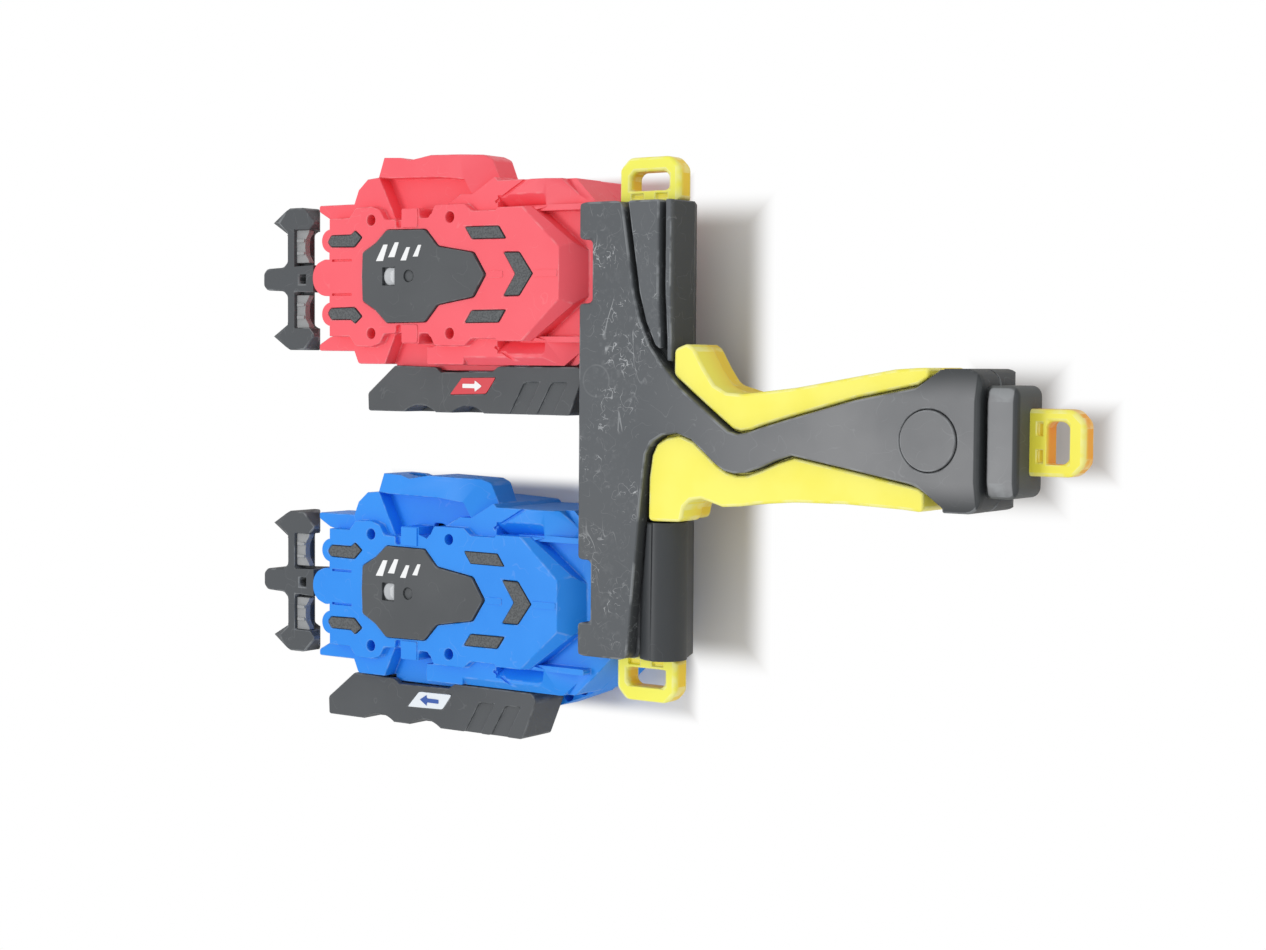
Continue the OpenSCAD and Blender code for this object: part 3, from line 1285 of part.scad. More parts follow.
module red_head_bush() color(white_plastic) at_launcher(RED) head_bush_shape();
module red_shift_fork() color(grey_plastic) at_launcher(RED) shift_fork_shape(RED);
module red_case_screws() color(steel) at_launcher(RED) case_screws_shape();

/* Blue launcher */
module blue_top_shell() color(blue_plastic) at_launcher(BLUE) top_shell_shape(BLUE);
module blue_bottom_shell() color(blue_plastic) at_launcher(BLUE) bottom_shell_shape();
module blue_crown_cover() color(black_plastic) at_launcher(BLUE) crown_cover_shape();
module blue_crown_marks() color(white_plastic) at_launcher(BLUE) crown_marks_shape();
module blue_grip_inserts() color(black_plastic) at_launcher(BLUE) grip_inserts_shape();
module blue_selector_bar() color(black_plastic) at_launcher(BLUE) selector_bar_shape(BLUE);
module blue_selector_label() color(white_plastic) at_launcher(BLUE) selector_label_shape(BLUE);
module blue_pull_handle() color(black_plastic) at_launcher(BLUE) pull_handle_shape();
module blue_handle_pads() color(grey_plastic) at_launcher(BLUE) handle_pads_shape();
module blue_pull_cord() color(cord_colour) at_launcher(BLUE) pull_cord_shape();
module blue_cord_bush() color(black_plastic) at_launcher(BLUE) cord_bush_shape();
module blue_reel() color(white_plastic) at_launcher(BLUE) reel_shape();
module blue_cord_winding() color(cord_colour) at_launcher(BLUE) cord_winding_shape();
module blue_return_spring() color(steel) at_launcher(BLUE) return_spring_shape();
module blue_axle_pins() color(steel) at_launcher(BLUE) axle_pins_shape();
module blue_first_idler() color(white_plastic) at_launcher(BLUE)
    idler_shape(first_at, level_1, level_3 - level_gap, 0);
module blue_second_idler() color(white_plastic) at_launcher(BLUE)
    idler_shape(second_at, level_2, level_3 + gear_w, second_turn);
module blue_output_gear() color(white_plastic) at_launcher(BLUE) output_gear_shape(BLUE);
module blue_launch_head() color(black_plastic) at_launcher(BLUE) launch_head_shape();
module blue_head_bush() color(white_plastic) at_launcher(BLUE) head_bush_shape();
module blue_shift_fork() color(grey_plastic) at_launcher(BLUE) shift_fork_shape(BLUE);
module blue_case_screws() color(steel) at_launcher(BLUE) case_screws_shape();

/* Grip pieces */
module spine_cover() color(black_plastic) at_grip() spine_cover_shape();
module thumb_disc() color(black_plastic) at_grip() thumb_disc_shape();
module crossbar_shell() color(black_plastic) at_grip() crossbar_shell_shape();
module barrel_cover() color(gloss_black) at_grip() barrel_cover_shape();
module shoulder_cover() color(black_plastic) at_grip() shoulder_cover_shape();
module upper_front_panel() color(yellow_plastic) at_grip()
    upper_panel(grip_mid + seat_gap, plate_low - seat_gap);
module upper_back_panel() color(yellow_plastic) at_grip()
    upper_panel(grip_low + plate_t + seat_gap, grip_mid - seat_gap);
module lower_front_panel() color(yellow_plastic) at_grip()
    lower_panel(grip_mid + seat_gap, plate_low - seat_gap);
module lower_back_panel() color(yellow_plastic) at_grip()
    lower_panel(grip_low + plate_t + seat_gap, grip_mid - seat_gap);
module back_cover() color(black_plastic) at_grip() back_cover_shape();
module pommel_cap() color(black_plastic) at_grip() pommel_cap_shape();
module handle_loop() color(yellow_plastic) at_grip() translate([loop_left, 0, grip_mid])
    strap_loop(loop_w, loop_reach, loop_reach / 4, -loop_seat);
module red_side_loop() color(yellow_plastic) at_grip() bar_loop(RED);
module blue_side_loop() color(yellow_plastic) at_grip() bar_loop(BLUE);
module grip_screws() color(steel) at_grip() grip_screws_shape();

red_top_shell();
red_bottom_shell();
red_crown_cover();
red_crown_marks();
red_grip_inserts();
red_selector_bar();
red_selector_label();
red_pull_handle();
red_handle_pads();
red_pull_cord();
red_cord_bush();
red_reel();
red_cord_winding();
red_return_spring();
red_axle_pins();
red_first_idler();
red_second_idler();
red_output_gear();
red_launch_head();
red_head_bush();
red_shift_fork();
red_case_screws();
blue_top_shell();
blue_bottom_shell();
blue_crown_cover();
blue_crown_marks();
blue_grip_inserts();
blue_selector_bar();
blue_selector_label();
blue_pull_handle();
blue_handle_pads();
blue_pull_cord();
blue_cord_bush();
blue_reel();
blue_cord_winding();
blue_return_spring();
blue_axle_pins();
blue_first_idler();
blue_second_idler();
blue_output_gear();
blue_launch_head();
blue_head_bush();
blue_shift_fork();
blue_case_screws();
spine_cover();
thumb_disc();
crossbar_shell();
barrel_cover();
shoulder_cover();
upper_front_panel();
upper_back_panel();
lower_front_panel();
lower_back_panel();
back_cover();
pommel_cap();
handle_loop();
red_side_loop();
blue_side_loop();
grip_screws();
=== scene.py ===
# A twin spinning top launcher: two cord-pull launchers docked on a T-shaped grip.
import json
import math

import bmesh
import bpy
import numpy as np
from mathutils import Matrix, Vector
from mathutils.bvhtree import BVHTree
from mathutils.kdtree import KDTree

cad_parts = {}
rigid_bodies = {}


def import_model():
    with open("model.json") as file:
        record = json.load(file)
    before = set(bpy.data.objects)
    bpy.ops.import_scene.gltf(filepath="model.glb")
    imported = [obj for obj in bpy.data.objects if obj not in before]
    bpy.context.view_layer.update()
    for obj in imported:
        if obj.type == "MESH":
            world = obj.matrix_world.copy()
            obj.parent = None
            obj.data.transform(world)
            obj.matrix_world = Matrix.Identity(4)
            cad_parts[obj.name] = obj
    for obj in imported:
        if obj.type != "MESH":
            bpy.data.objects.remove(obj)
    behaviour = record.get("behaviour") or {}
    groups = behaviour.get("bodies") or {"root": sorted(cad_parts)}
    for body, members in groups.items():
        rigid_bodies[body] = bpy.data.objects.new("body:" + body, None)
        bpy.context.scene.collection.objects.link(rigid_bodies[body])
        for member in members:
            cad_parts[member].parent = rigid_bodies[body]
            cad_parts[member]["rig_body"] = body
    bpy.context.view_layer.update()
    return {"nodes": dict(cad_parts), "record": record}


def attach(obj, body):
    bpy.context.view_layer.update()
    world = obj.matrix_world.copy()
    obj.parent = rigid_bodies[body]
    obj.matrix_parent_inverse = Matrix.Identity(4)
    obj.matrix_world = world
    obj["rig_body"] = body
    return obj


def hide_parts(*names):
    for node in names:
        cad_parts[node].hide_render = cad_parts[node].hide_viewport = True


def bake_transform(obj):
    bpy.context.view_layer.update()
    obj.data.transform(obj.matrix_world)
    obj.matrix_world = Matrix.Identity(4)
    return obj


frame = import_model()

NODES = frame["nodes"]
MM = 0.001

# Places in millimetres, as in the part's source: the launchers' head axes (x, and y of each), the grip's
# centre line and top, and the pommel
HEAD_X = -69.6
LAUNCHERS = {"red": 47.3, "blue": -42.7}
GRIP_Y = 5.3
GRIP_TOP = 33.0
POMMEL_START = 100.0
POMMEL_END = 108.1
POMMEL_HALF = 17.3
POMMEL_CORNER = 4.2
POMMEL_FLAT = 9.6


# ---------------------------------------------------------------- camera, floor and light
def set_camera():
    camera = bpy.data.objects.new("camera", bpy.data.cameras.new("camera"))
    camera.data.sensor_width = 36
    camera.data.lens = 61.25
    camera.location = (0.3331, 0.0244, 0.4948)
    camera.rotation_euler = [math.radians(a) for a in (-2.796, 35.11, 0.505)]
    bpy.context.collection.objects.link(camera)
    bpy.context.scene.camera = camera


def area_light(name, place, size, watts):
    lamp = bpy.data.lights.new(name, "AREA")
    lamp.shape = "DISK"
    lamp.size = size
    lamp.energy = watts
    holder = bpy.data.objects.new(name, lamp)
    holder.location = place
    aim = Vector((-0.01, 0, 0.01)) - Vector(place)
    holder.rotation_euler = aim.to_track_quat("-Z", "Y").to_euler()
    bpy.context.collection.objects.link(holder)


# ---------------------------------------------------------------- finishes
class Wire:
    """One output in a finish's node tree, on which arithmetic adds Math nodes."""

    def __init__(self, finish, socket):
        self.finish = finish
        self.socket = socket

    def _sum(self, operation, first, second):
        return self.finish.add("ShaderNodeMath", {"operation": operation}, {0: first, 1: second})

    def __add__(self, other):
        return self._sum("ADD", self, other)

    def __radd__(self, other):
        return self._sum("ADD", other, self)

    def __sub__(self, other):
        return self._sum("SUBTRACT", self, other)

    def __rsub__(self, other):
        return self._sum("SUBTRACT", other, self)

    def __mul__(self, other):
        return self._sum("MULTIPLY", self, other)

    def __rmul__(self, other):
        return self._sum("MULTIPLY", other, self)

    def __abs__(self):
        return self._sum("ABSOLUTE", self, 0.0)

    def __gt__(self, other):
        return self._sum("GREATER_THAN", self, other)

    def rises(self, low, high):
        """0 below low, 1 above high, smooth between."""
        return self.finish.add("ShaderNodeMapRange", {"interpolation_type": "SMOOTHSTEP"},
                               {"Value": self, "From Min": low, "From Max": high})


def linear(red, green, blue):
    """A colour as a screen shows it, 0 to 255, in the renderer's linear values."""
    return tuple(((c / 255 + 0.055) / 1.055) ** 2.4 if c > 10 else c / 255 / 12.92
                 for c in (red, green, blue)) + (1.0,)


class Finish:
    """A procedural material under construction."""

    def __init__(self, name):
        self.material = bpy.data.materials.new(name)
        self.material.use_nodes = True
        self.tree = self.material.node_tree
        self.shader = self.tree.nodes["Principled BSDF"]
        self.place = self.add("ShaderNodeTexCoord", out="Object")

    def add(self, kind, settings=None, sockets=None, out=0):
        node = self.tree.nodes.new(kind)
        for key, value in (settings or {}).items():
            if key == "stops":
                ramp = node.color_ramp.elements
                while len(ramp) < len(value):
                    ramp.new(0.5)
                for stop, (where, colour) in zip(ramp, value):
                    stop.position, stop.color = where, colour
            else:
                setattr(node, key, value)
        for key, value in (sockets or {}).items():
            self.join(value, node.inputs[key])
        return Wire(self, node.outputs[out])

    def join(self, value, socket):
        if isinstance(value, Wire):
            self.tree.links.new(value.socket, socket)
        else:
            socket.default_value = value

    def noise(self, size_mm, detail=2.0, where=None, out=0):
        return self.add("ShaderNodeTexNoise", {}, {
            "Vector": where or self.place, "Scale": 1000 / size_mm, "Detail": detail}, out)

    def stretched(self, x, y, z, turn=0.0):
        """Object coordinates scaled along each axis, after a turn about Z in degrees."""
        return self.add("ShaderNodeMapping", {}, {
            "Vector": self.place, "Rotation": (0, 0, math.radians(turn)), "Scale": (x, y, z)})

    def axis(self, name):
        return self.add("ShaderNodeSeparateXYZ", {}, {0: self.place}, name)

    def rim(self):
        """1 on the rounded edges of a piece, 0 elsewhere."""
        return self.add("ShaderNodeAttribute", {"attribute_name": "rim"}, {}, "Fac")

    def hairlines(self, size_mm, shift, width=0.006, turn=0.0, squeeze=1.0):
        """Thin curling scratches: broken contour lines of a slow noise."""
        where = self.add("ShaderNodeMapping", {}, {
            "Vector": self.place, "Location": (shift, -shift, shift), "Rotation": (0, 0, math.radians(turn)),
            "Scale": (1, squeeze, 1)})
        contour = abs(self.noise(size_mm, 1.5, where) - 0.5).rises(width, width * 0.3)
        return contour * self.noise(size_mm * 0.7, 1, where).rises(0.5, 0.55)

    def blend(self, share, first, second):
        return self.add("ShaderNodeMix", {"data_type": "RGBA"}, {0: share, 6: first, 7: second}, 2)

    def bump(self, height, strength, depth_mm, under=None):
        sockets = {"Height": height, "Strength": strength, "Distance": depth_mm * MM}
        if under:
            sockets["Normal"] = under
        return self.add("ShaderNodeBump", {}, sockets)

    def done(self, **sockets):
        names = {"colour": "Base Color", "roughness": "Roughness", "metal": "Metallic",
                 "coat": "Coat Weight", "normal": "Normal", "specular": "Specular IOR Level"}
        for key, value in sockets.items():
            self.join(value, self.shader.inputs[names[key]])
        return self.material


def moulded(name, colour, deeper, rough=0.42, grain=0.45, grain_depth=0.02, tone=0.5, specular=0.3,
            edge_highlight_share=0.3, rim=None):
    """Moulded plastic: cloudy tone, fine spark-eroded grain, faint handling marks and a painted highlight on
    the rounded edges.
    """
    f = Finish(name)
    cloud = f.noise(22, 3).rises(0.3, 0.75)
    specks = f.noise(1.1, 2).rises(0.62, 0.8)
    tint = f.blend(cloud * tone + specks * 0.15, colour, deeper)
    # pale: the colour of the handling marks and of the painted highlight on the rounded edges
    pale = rim or tuple(c * 0.7 + 0.3 for c in colour[:3]) + (1.0,)
    tint = f.blend(f.hairlines(9, 0.31) * 0.12, tint, pale)
    # painted highlight along the rounded edges
    tint = f.blend(f.rim() * f.noise(3, 2).rises(0.35, 0.65) * edge_highlight_share, tint, pale)
    marks = f.noise(1, 2, f.stretched(0.05, 1, 1, 24)).rises(0.66, 0.78)
    skin = f.bump(f.noise(grain, 2), 0.5, grain_depth)
    skin = f.bump(f.noise(9, 2), 0.25, 0.06, skin)
    rough = rough + cloud * 0.06 + marks * -0.05
    return f.done(colour=tint, roughness=rough, normal=skin, specular=specular)


def lemon(name, top, side, low_mm, high_mm, rough):
    """Yellow plastic with a painted orange shade that deepens down its walls, and a painted highlight on its
    rounded edges.
    """
    f = Finish(name)
    # painted shade: the side colour low on the walls, the top colour high up
    height = f.axis("Z").rises(low_mm * MM, high_mm * MM)
    cloud = f.noise(14, 3).rises(0.35, 0.75)
    tint = f.blend(height, side, top)
    tint = f.blend(cloud * 0.25, tint, linear(255, 240, 60))
    # painted highlight along the rounded edges
    tint = f.blend(f.rim() * f.noise(4, 2).rises(0.3, 0.6) * 0.5, tint, linear(255, 255, 190))
    skin = f.bump(f.noise(0.6, 2), 0.4, 0.012)
    skin = f.bump(f.noise(10, 2), 0.2, 0.08, skin)
    return f.done(colour=tint, roughness=rough + cloud * 0.08, normal=skin, specular=0.3)


def charcoal_with_wear_and_painted_light(name, dark, pale, painted_wall_shade, low_mm, high_mm, scuffs=(), ring=None, specular=0.35, band=None):
    """Matt black moulding with a painted sheen that grows towards the pommel and a painted shade down its
    walls; edges paler from wear and a painted highlight, curling scratches near the scuffs and one round
    trace at the ring, both (x, y, radius) in millimetres, and a painted shade on the rear edge from band on."""
    f = Finish(name)
    cloud = f.noise(26, 3).rises(0.35, 0.75)
    # painted sheen: paler along x towards the pommel, from dark to pale
    tint = f.blend(f.axis("X").rises(0.006, 0.075), dark, pale)
    tint = f.blend(cloud * 0.3, tint, linear(88, 92, 96))
    # painted shade: darker down the walls, below high_mm
    tint = f.blend(f.axis("Z").rises(low_mm * MM, high_mm * MM), painted_wall_shade, tint)
    fine = f.hairlines(12, 0.11, 0.004) + f.hairlines(7, 0.47, 0.004)
    tint = f.blend(fine * 0.16, tint, linear(170, 173, 176))
    tangle = (f.hairlines(7, 0.23, 0.007) + f.hairlines(4, 0.61, 0.01) + f.hairlines(2.8, 0.37, 0.012)
              + f.hairlines(11, 0.83, 0.005, 20, 0.3)) * f.noise(8, 2).rises(0.42, 0.56)
    for x, y, radius in scuffs:
        near = f.add("ShaderNodeVectorMath", {"operation": "DISTANCE"}, {
            0: f.place, 1: (x * MM, y * MM, GRIP_TOP * MM)}, "Value").rises(radius * MM, radius * 0.3 * MM)
        haze = f.noise(1.4, 3).rises(0.5, 0.75)
        tint = f.blend(near * (tangle * 0.42 + haze * 0.05), tint, linear(196, 199, 202))
    if ring:
        x, y, radius = ring
        away = f.add("ShaderNodeVectorMath", {"operation": "DISTANCE"}, {
            0: f.place, 1: (x * MM, y * MM, GRIP_TOP * MM)}, "Value")
        trace = abs(away - radius * MM).rises(0.35 * MM, 0.1 * MM) * f.noise(6, 2).rises(0.35, 0.6)
        tint = f.blend(trace * 0.2, tint, linear(150, 153, 156))
    # the rounded edges paler: partly wear, partly a painted highlight
    wear_and_highlight = f.rim() * f.noise(5, 3).rises(0.42, 0.62)
    tint = f.blend(wear_and_highlight * 0.4, tint, linear(168, 172, 175))
    # painted shade on the rounded rear edge, from band on and near the top
    if band:
        rear = f.axis("X").rises(band * MM, (band + 0.4) * MM)
        rear = rear * f.axis("Z").rises(29.3 * MM, 30.1 * MM)
        tint = f.blend(rear * 0.9, tint, linear(50, 54, 56))
    skin = f.bump(f.noise(0.5, 2), 0.6, 0.03)
    skin = f.bump(f.noise(12, 2), 0.3, 0.06, skin)
    return f.done(colour=tint, roughness=0.5 + cloud * 0.08, normal=skin, specular=specular)


def polished_black():
    f = Finish("polished black")
    smear = f.noise(14, 3).rises(0.4, 0.7)
    tint = f.blend(smear * 0.5, linear(38, 38, 40), linear(46, 46, 48))
    skin = f.bump(f.noise(18, 1), 0.15, 0.1)
    return f.done(colour=tint, roughness=0.2 + smear * 0.1, normal=skin, coat=0.3)


def pebbled_black():
    f = Finish("pebbled black")
    pebbles = f.add("ShaderNodeTexVoronoi", {"feature": "SMOOTH_F1"}, {
        "Vector": f.place, "Scale": 1000 / 0.5, "Smoothness": 0.4}, "Distance")
    tint = f.blend(pebbles.rises(0.1, 0.75), linear(74, 77, 79), linear(100, 103, 105))
    tint = f.blend(f.rim(), tint, linear(48, 49, 51))
    return f.done(colour=tint, roughness=0.6, normal=f.bump(pebbles, 0.35, 0.08), specular=0.25)


def plate_with_arrow(name, plate, arrow, step_mm):
    """A printed label plate; what stands above the given height is the arrow."""
    f = Finish(name)
    raised = f.axis("Z") > step_mm * MM
    tint = f.blend(raised, plate, arrow)
    rough = 0.32 + f.noise(6, 2) * 0.06
    return f.done(colour=tint, roughness=rough, normal=f.bump(f.noise(2, 2), 0.1, 0.02))


def plain_metal(name, colour, rough):
    f = Finish(name)
    streaks = f.noise(1, 3, f.stretched(1, 1, 0.05)).rises(0.3, 0.7)
    tint = f.blend(streaks, colour, linear(150, 151, 153))
    skin = f.bump(streaks, 0.2, 0.01)
    return f.done(colour=tint, roughness=rough + streaks * 0.12, metal=1.0, normal=skin)


def braided_cord():
    f = Finish("braided cord")
    strands = f.add("ShaderNodeTexWave", {"wave_type": "BANDS", "bands_direction": "DIAGONAL"}, {
        "Vector": f.place, "Scale": 900.0, "Distortion": 1.5})
    tint = f.blend(strands, linear(170, 168, 160), linear(228, 227, 222))
    return f.done(colour=tint, roughness=0.8, normal=f.bump(strands, 0.5, 0.1))


# Where the object shades the floor: x from, x to, y from, y to and fade, in millimetres
SHADED = [(-14, 22, -52, 60, 10), (-100, 2, 16, 72, 4), (-100, 4, -72, -14, 5), (98, 108, -6, 16, 10),
          (112, 124, 0, 9, 7)]


def pale_floor():
    """Grey paper under the object: away from it the camera sees plain white."""
    f = Finish("pale floor")
    x, y = f.axis("X"), f.axis("Y")
    near = 0.0
    for left, right, low, high, fade in SHADED:
        over = f.add("ShaderNodeMath", {"operation": "MAXIMUM"}, {
            0: abs(x - (left + right) / 2 * MM) - (right - left) / 2 * MM,
            1: abs(y - (low + high) / 2 * MM) - (high - low) / 2 * MM})
        near = f.add("ShaderNodeMath", {"operation": "MAXIMUM"}, {0: over.rises(fade * MM, 0.0), 1: near})
    seen = f.add("ShaderNodeLightPath", {}, {}, "Is Camera Ray")
    glow = f.add("ShaderNodeEmission", {}, {"Color": (1, 1, 1, 1), "Strength": 1.0})
    paper = Wire(f, f.shader.outputs[0])
    both = f.add("ShaderNodeMixShader", {}, {0: seen * (1.0 - near), 1: paper, 2: glow})
    f.join(both, f.tree.nodes["Material Output"].inputs["Surface"])
    return f.done(colour=(0.8, 0.79, 0.78, 1), roughness=0.9, specular=0.0)


SCUFFS = [(-2, 56, 12), (-3, 47, 9), (5, 40, 9), (8, 30, 16), (1, 24, 12), (14, 34, 10), (3, 12, 10),
          (-2, 0, 12), (8, -12, 9), (-3, -30, 14), (5, -44, 12)]
SHOULDER_SCUFFS = [(14, 42, 10), (10, 56, 7), (15, 32, 8)]
RING_TRACE = (-3.5, 18.5, 4.2)
ARROW_STEP = 28.16

FINISH = {
    "red_shell": moulded("coral red", linear(252, 100, 112), linear(248, 88, 101), 0.4),
    "blue_shell": moulded("bright blue", linear(38, 146, 246), linear(28, 134, 236), 0.4),
    # rim: the paler colour of the handling marks and of the painted edge highlight
    "matte_black": moulded("moulded black", linear(84, 87, 90), linear(74, 77, 80), 0.5, 0.5, 0.03,
                           rim=linear(150, 153, 156)),
    # charcoal grip: painted sheen up to 133 towards the pommel, painted shade on the walls from 33 mm down
    # to 31.1 mm, painted shade on the pommel's rear edge beyond 106.6 mm
    "charcoal_grip": charcoal_with_wear_and_painted_light("worn charcoal", linear(86, 90, 94), linear(133, 134, 136),
                                   linear(66, 69, 71), 31.1, 33.0, SCUFFS, RING_TRACE, band=106.6),
    "gloss_black": polished_black(),
    "textured_black": pebbled_black(),
    "satin_grey": moulded("satin grey", linear(158, 160, 161), linear(138, 140, 142), 0.42),
    # the second colour of each yellow finish is a painted orange shade low on the walls
    "yellow": lemon("lemon yellow", linear(255, 247, 98), linear(252, 220, 76), 18, 30, 0.36),
    "yellow_loop": lemon("loop yellow", linear(255, 246, 84), linear(255, 172, 36), 21.8, 24.15, 0.34),
    "print_white": moulded("white print", linear(246, 247, 248), linear(236, 238, 240), 0.4, 0.5, 0.01),
    "red_label": plate_with_arrow("red label", linear(216, 52, 64), linear(244, 244, 244), ARROW_STEP),
    "blue_label": plate_with_arrow("white label", linear(232, 238, 244), linear(40, 84, 168), ARROW_STEP),
    "nylon_white": moulded("white acetal", linear(232, 232, 228), linear(220, 220, 214), 0.4),
    "cord": braided_cord(),
    "spring_steel": plain_metal("blued strip", linear(96, 104, 124), 0.3),
    "pin_steel": plain_metal("zinc plate", linear(176, 177, 180), 0.32)}
# rim: the paler colour of the handling marks and of the painted edge highlight
BARREL_FINISH = moulded("smooth charcoal", linear(66, 69, 72), linear(60, 63, 66), 0.36, 0.8, 0.01,
                        rim=linear(120, 123, 126))
# the pull handles: painted shade, nearly black, down their walls below 26.6 mm
HANDLE_FINISH = charcoal_with_wear_and_painted_light("worn handle", linear(86, 89, 92), linear(86, 89, 92), linear(30, 31, 32),
                              21, 26.6, specular=0.15)
# the second colour is a painted orange shade low on the loop's walls
SIDE_LOOP_FINISH = lemon("side loop yellow", linear(253, 251, 96), linear(252, 214, 62), 21.8, 24.15, 0.34)
# the pommel's cap: painted sheen (150) over its top, painted shade down its walls and on its rear edge
# beyond 115.8 mm
CAP_FINISH = charcoal_with_wear_and_painted_light("worn cap", linear(86, 90, 94), linear(150, 151, 153), linear(80, 84, 84),
                           29.9, 31.3, band=115.8)
# the shoulder cover: painted shade down its walls below 32 mm
SHOULDER_FINISH = charcoal_with_wear_and_painted_light("worn shoulder", linear(92, 96, 100), linear(92, 96, 100),
                                linear(66, 69, 71), 29.5, 32.0, SHOULDER_SCUFFS)
LENS_FINISH = moulded("grey lens", linear(196, 199, 202), linear(150, 154, 158), 0.22, 0.9, 0.005, 1.0, 0.5)
SLOT_OF = {s["node"]: s["material_slot"] for s in frame["record"]["subparts"]}


# ---------------------------------------------------------------- shapes
SHARP = math.radians(28)    # two faces at more than this angle meet in an edge to round
LEVEL = math.radians(0.4)   # two faces at less than this angle are one
ROOM_SHARE = 0.36           # how much of the free room beside an edge its rounding may take
RIM_DRIFT = 0.32            # how far, in radii, a rounded strip may leave the surface
FACE_DRIFT = 0.01 * MM      # how far any other face may
REPAIR_REACH = 1.2 * MM     # a spoiled corner weakens the rounding of the edges this near
ATTEMPTS = 6


def body_of_node(node):
    return NODES[node]["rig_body"]


def place_piece(piece, body, slot, *nodes, finish=None):
    """Finishes a piece that stands for CAD nodes and rides on a body."""
    piece.data.materials.clear()
    piece.data.materials.append(finish or FINISH[slot])
    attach(piece, body)
    if nodes:
        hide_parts(*nodes)


def new_piece(name, mesh):
    piece = bpy.data.objects.new(name, mesh)
    bpy.context.collection.objects.link(piece)
    return piece


def mesh_of(form, name):
    mesh = bpy.data.meshes.new(name)
    form.to_mesh(mesh)
    form.free()
    return mesh


def join_rings(form, rings):
    """Faces from each ring of verts up to the next, and one over each end."""
    for lower, upper in zip(rings, rings[1:]):
        for i in range(len(lower)):
            after = (i + 1) % len(lower)
            form.faces.new((lower[i], lower[after], upper[after], upper[i]))
    form.faces.new(reversed(rings[0]))
    form.faces.new(rings[-1])


def merged_copy(node):
    """The CAD node's solid with its triangles joined into flat faces."""
    form = bmesh.new()
    form.from_mesh(NODES[node].data)
    bmesh.ops.remove_doubles(form, verts=form.verts, dist=0.002 * MM)
    bmesh.ops.dissolve_limit(form, angle_limit=LEVEL, verts=form.verts, edges=form.edges)
    return form


def room_at_ends(edge, sharp):
    """The length of the other edges at its ends, as a limit for its rounding; twice that for those
    that only divide a flat face."""
    room = 1.0
    for vert in edge.verts:
        along = (edge.other_vert(vert).co - vert.co).normalized()
        for other in vert.link_edges:
            if other is not edge:
                away = other.other_vert(vert).co - vert.co
                if along.dot(away.normalized()) > -0.85:
                    room = min(room, away.length * (1 if other in sharp else 2))
    return room


def edge_rooms(form, sharp):
    """How far each sharp edge may be rounded before it meets another one on the same flat face."""
    sharp = set(sharp)
    room = {edge: room_at_ends(edge, sharp) for edge in sharp}
    planes = {}
    for face in form.faces:
        level = face.normal.dot(face.verts[0].co) / MM
        key = tuple(round(c, 2) for c in face.normal) + (round(level, 1),)
        planes.setdefault(key, []).extend(loop for loop in face.loops if loop.edge in room)
    for loops in planes.values():
        starts = np.array([loop.vert.co for loop in loops]).reshape(-1, 3)
        ends = np.array([loop.link_loop_next.vert.co for loop in loops]).reshape(-1, 3)
        spans = ends - starts
        squares = np.maximum((spans * spans).sum(1), 1e-14)
        for i, loop in enumerate(loops):
            start, end = starts[i], ends[i]
            length = squares[i] ** 0.5
            along = spans[i] / length
            inward = np.cross(np.array(loop.face.normal), along)
            found = [room[loop.edge]]
            shift = (starts - start) @ along
            rise = (starts - start) @ inward
            found += list(rise[(shift > 0.01 * length) & (shift < 0.99 * length) & (rise > 1e-6)])
            beside = (np.abs(starts - end).max(1) > 1e-7) & (np.abs(ends - start).max(1) > 1e-7)
            for share in (0.1, 0.5, 0.9):
                here = start + spans[i] * share
                foot_at = ((here - starts) * spans).sum(1) / squares
                gap = starts + spans * foot_at[:, None] - here
                distance = (gap * gap).sum(1) ** 0.5
                hit = (foot_at > 0) & (foot_at < 1) & (distance > 1e-6) & beside
                found += list(distance[hit & (gap @ inward > 0.5 * distance)])
            room[loop.edge] = min(found)
    return room


def spoiled(mesh, original, radius):
    """Corners of the triangles that a rounding has turned over, or thrown off the original surface."""
    mesh.calc_loop_triangles()
    corners = []
    for triangle in mesh.loop_triangles:
        places = [mesh.vertices[i].co for i in triangle.vertices]
        middle = (places[0] + places[1] + places[2]) / 3
        normal, away = original.find_nearest(middle)[1::2]
        if mesh.polygons[triangle.polygon_index].material_index:
            wrong = away > RIM_DRIFT * radius
        else:
            turned = triangle.area > 0.01 * MM * MM and triangle.normal.dot(normal) < 0.3
            wrong = away > FACE_DRIFT or turned
        if wrong:
            corners += places
    return corners


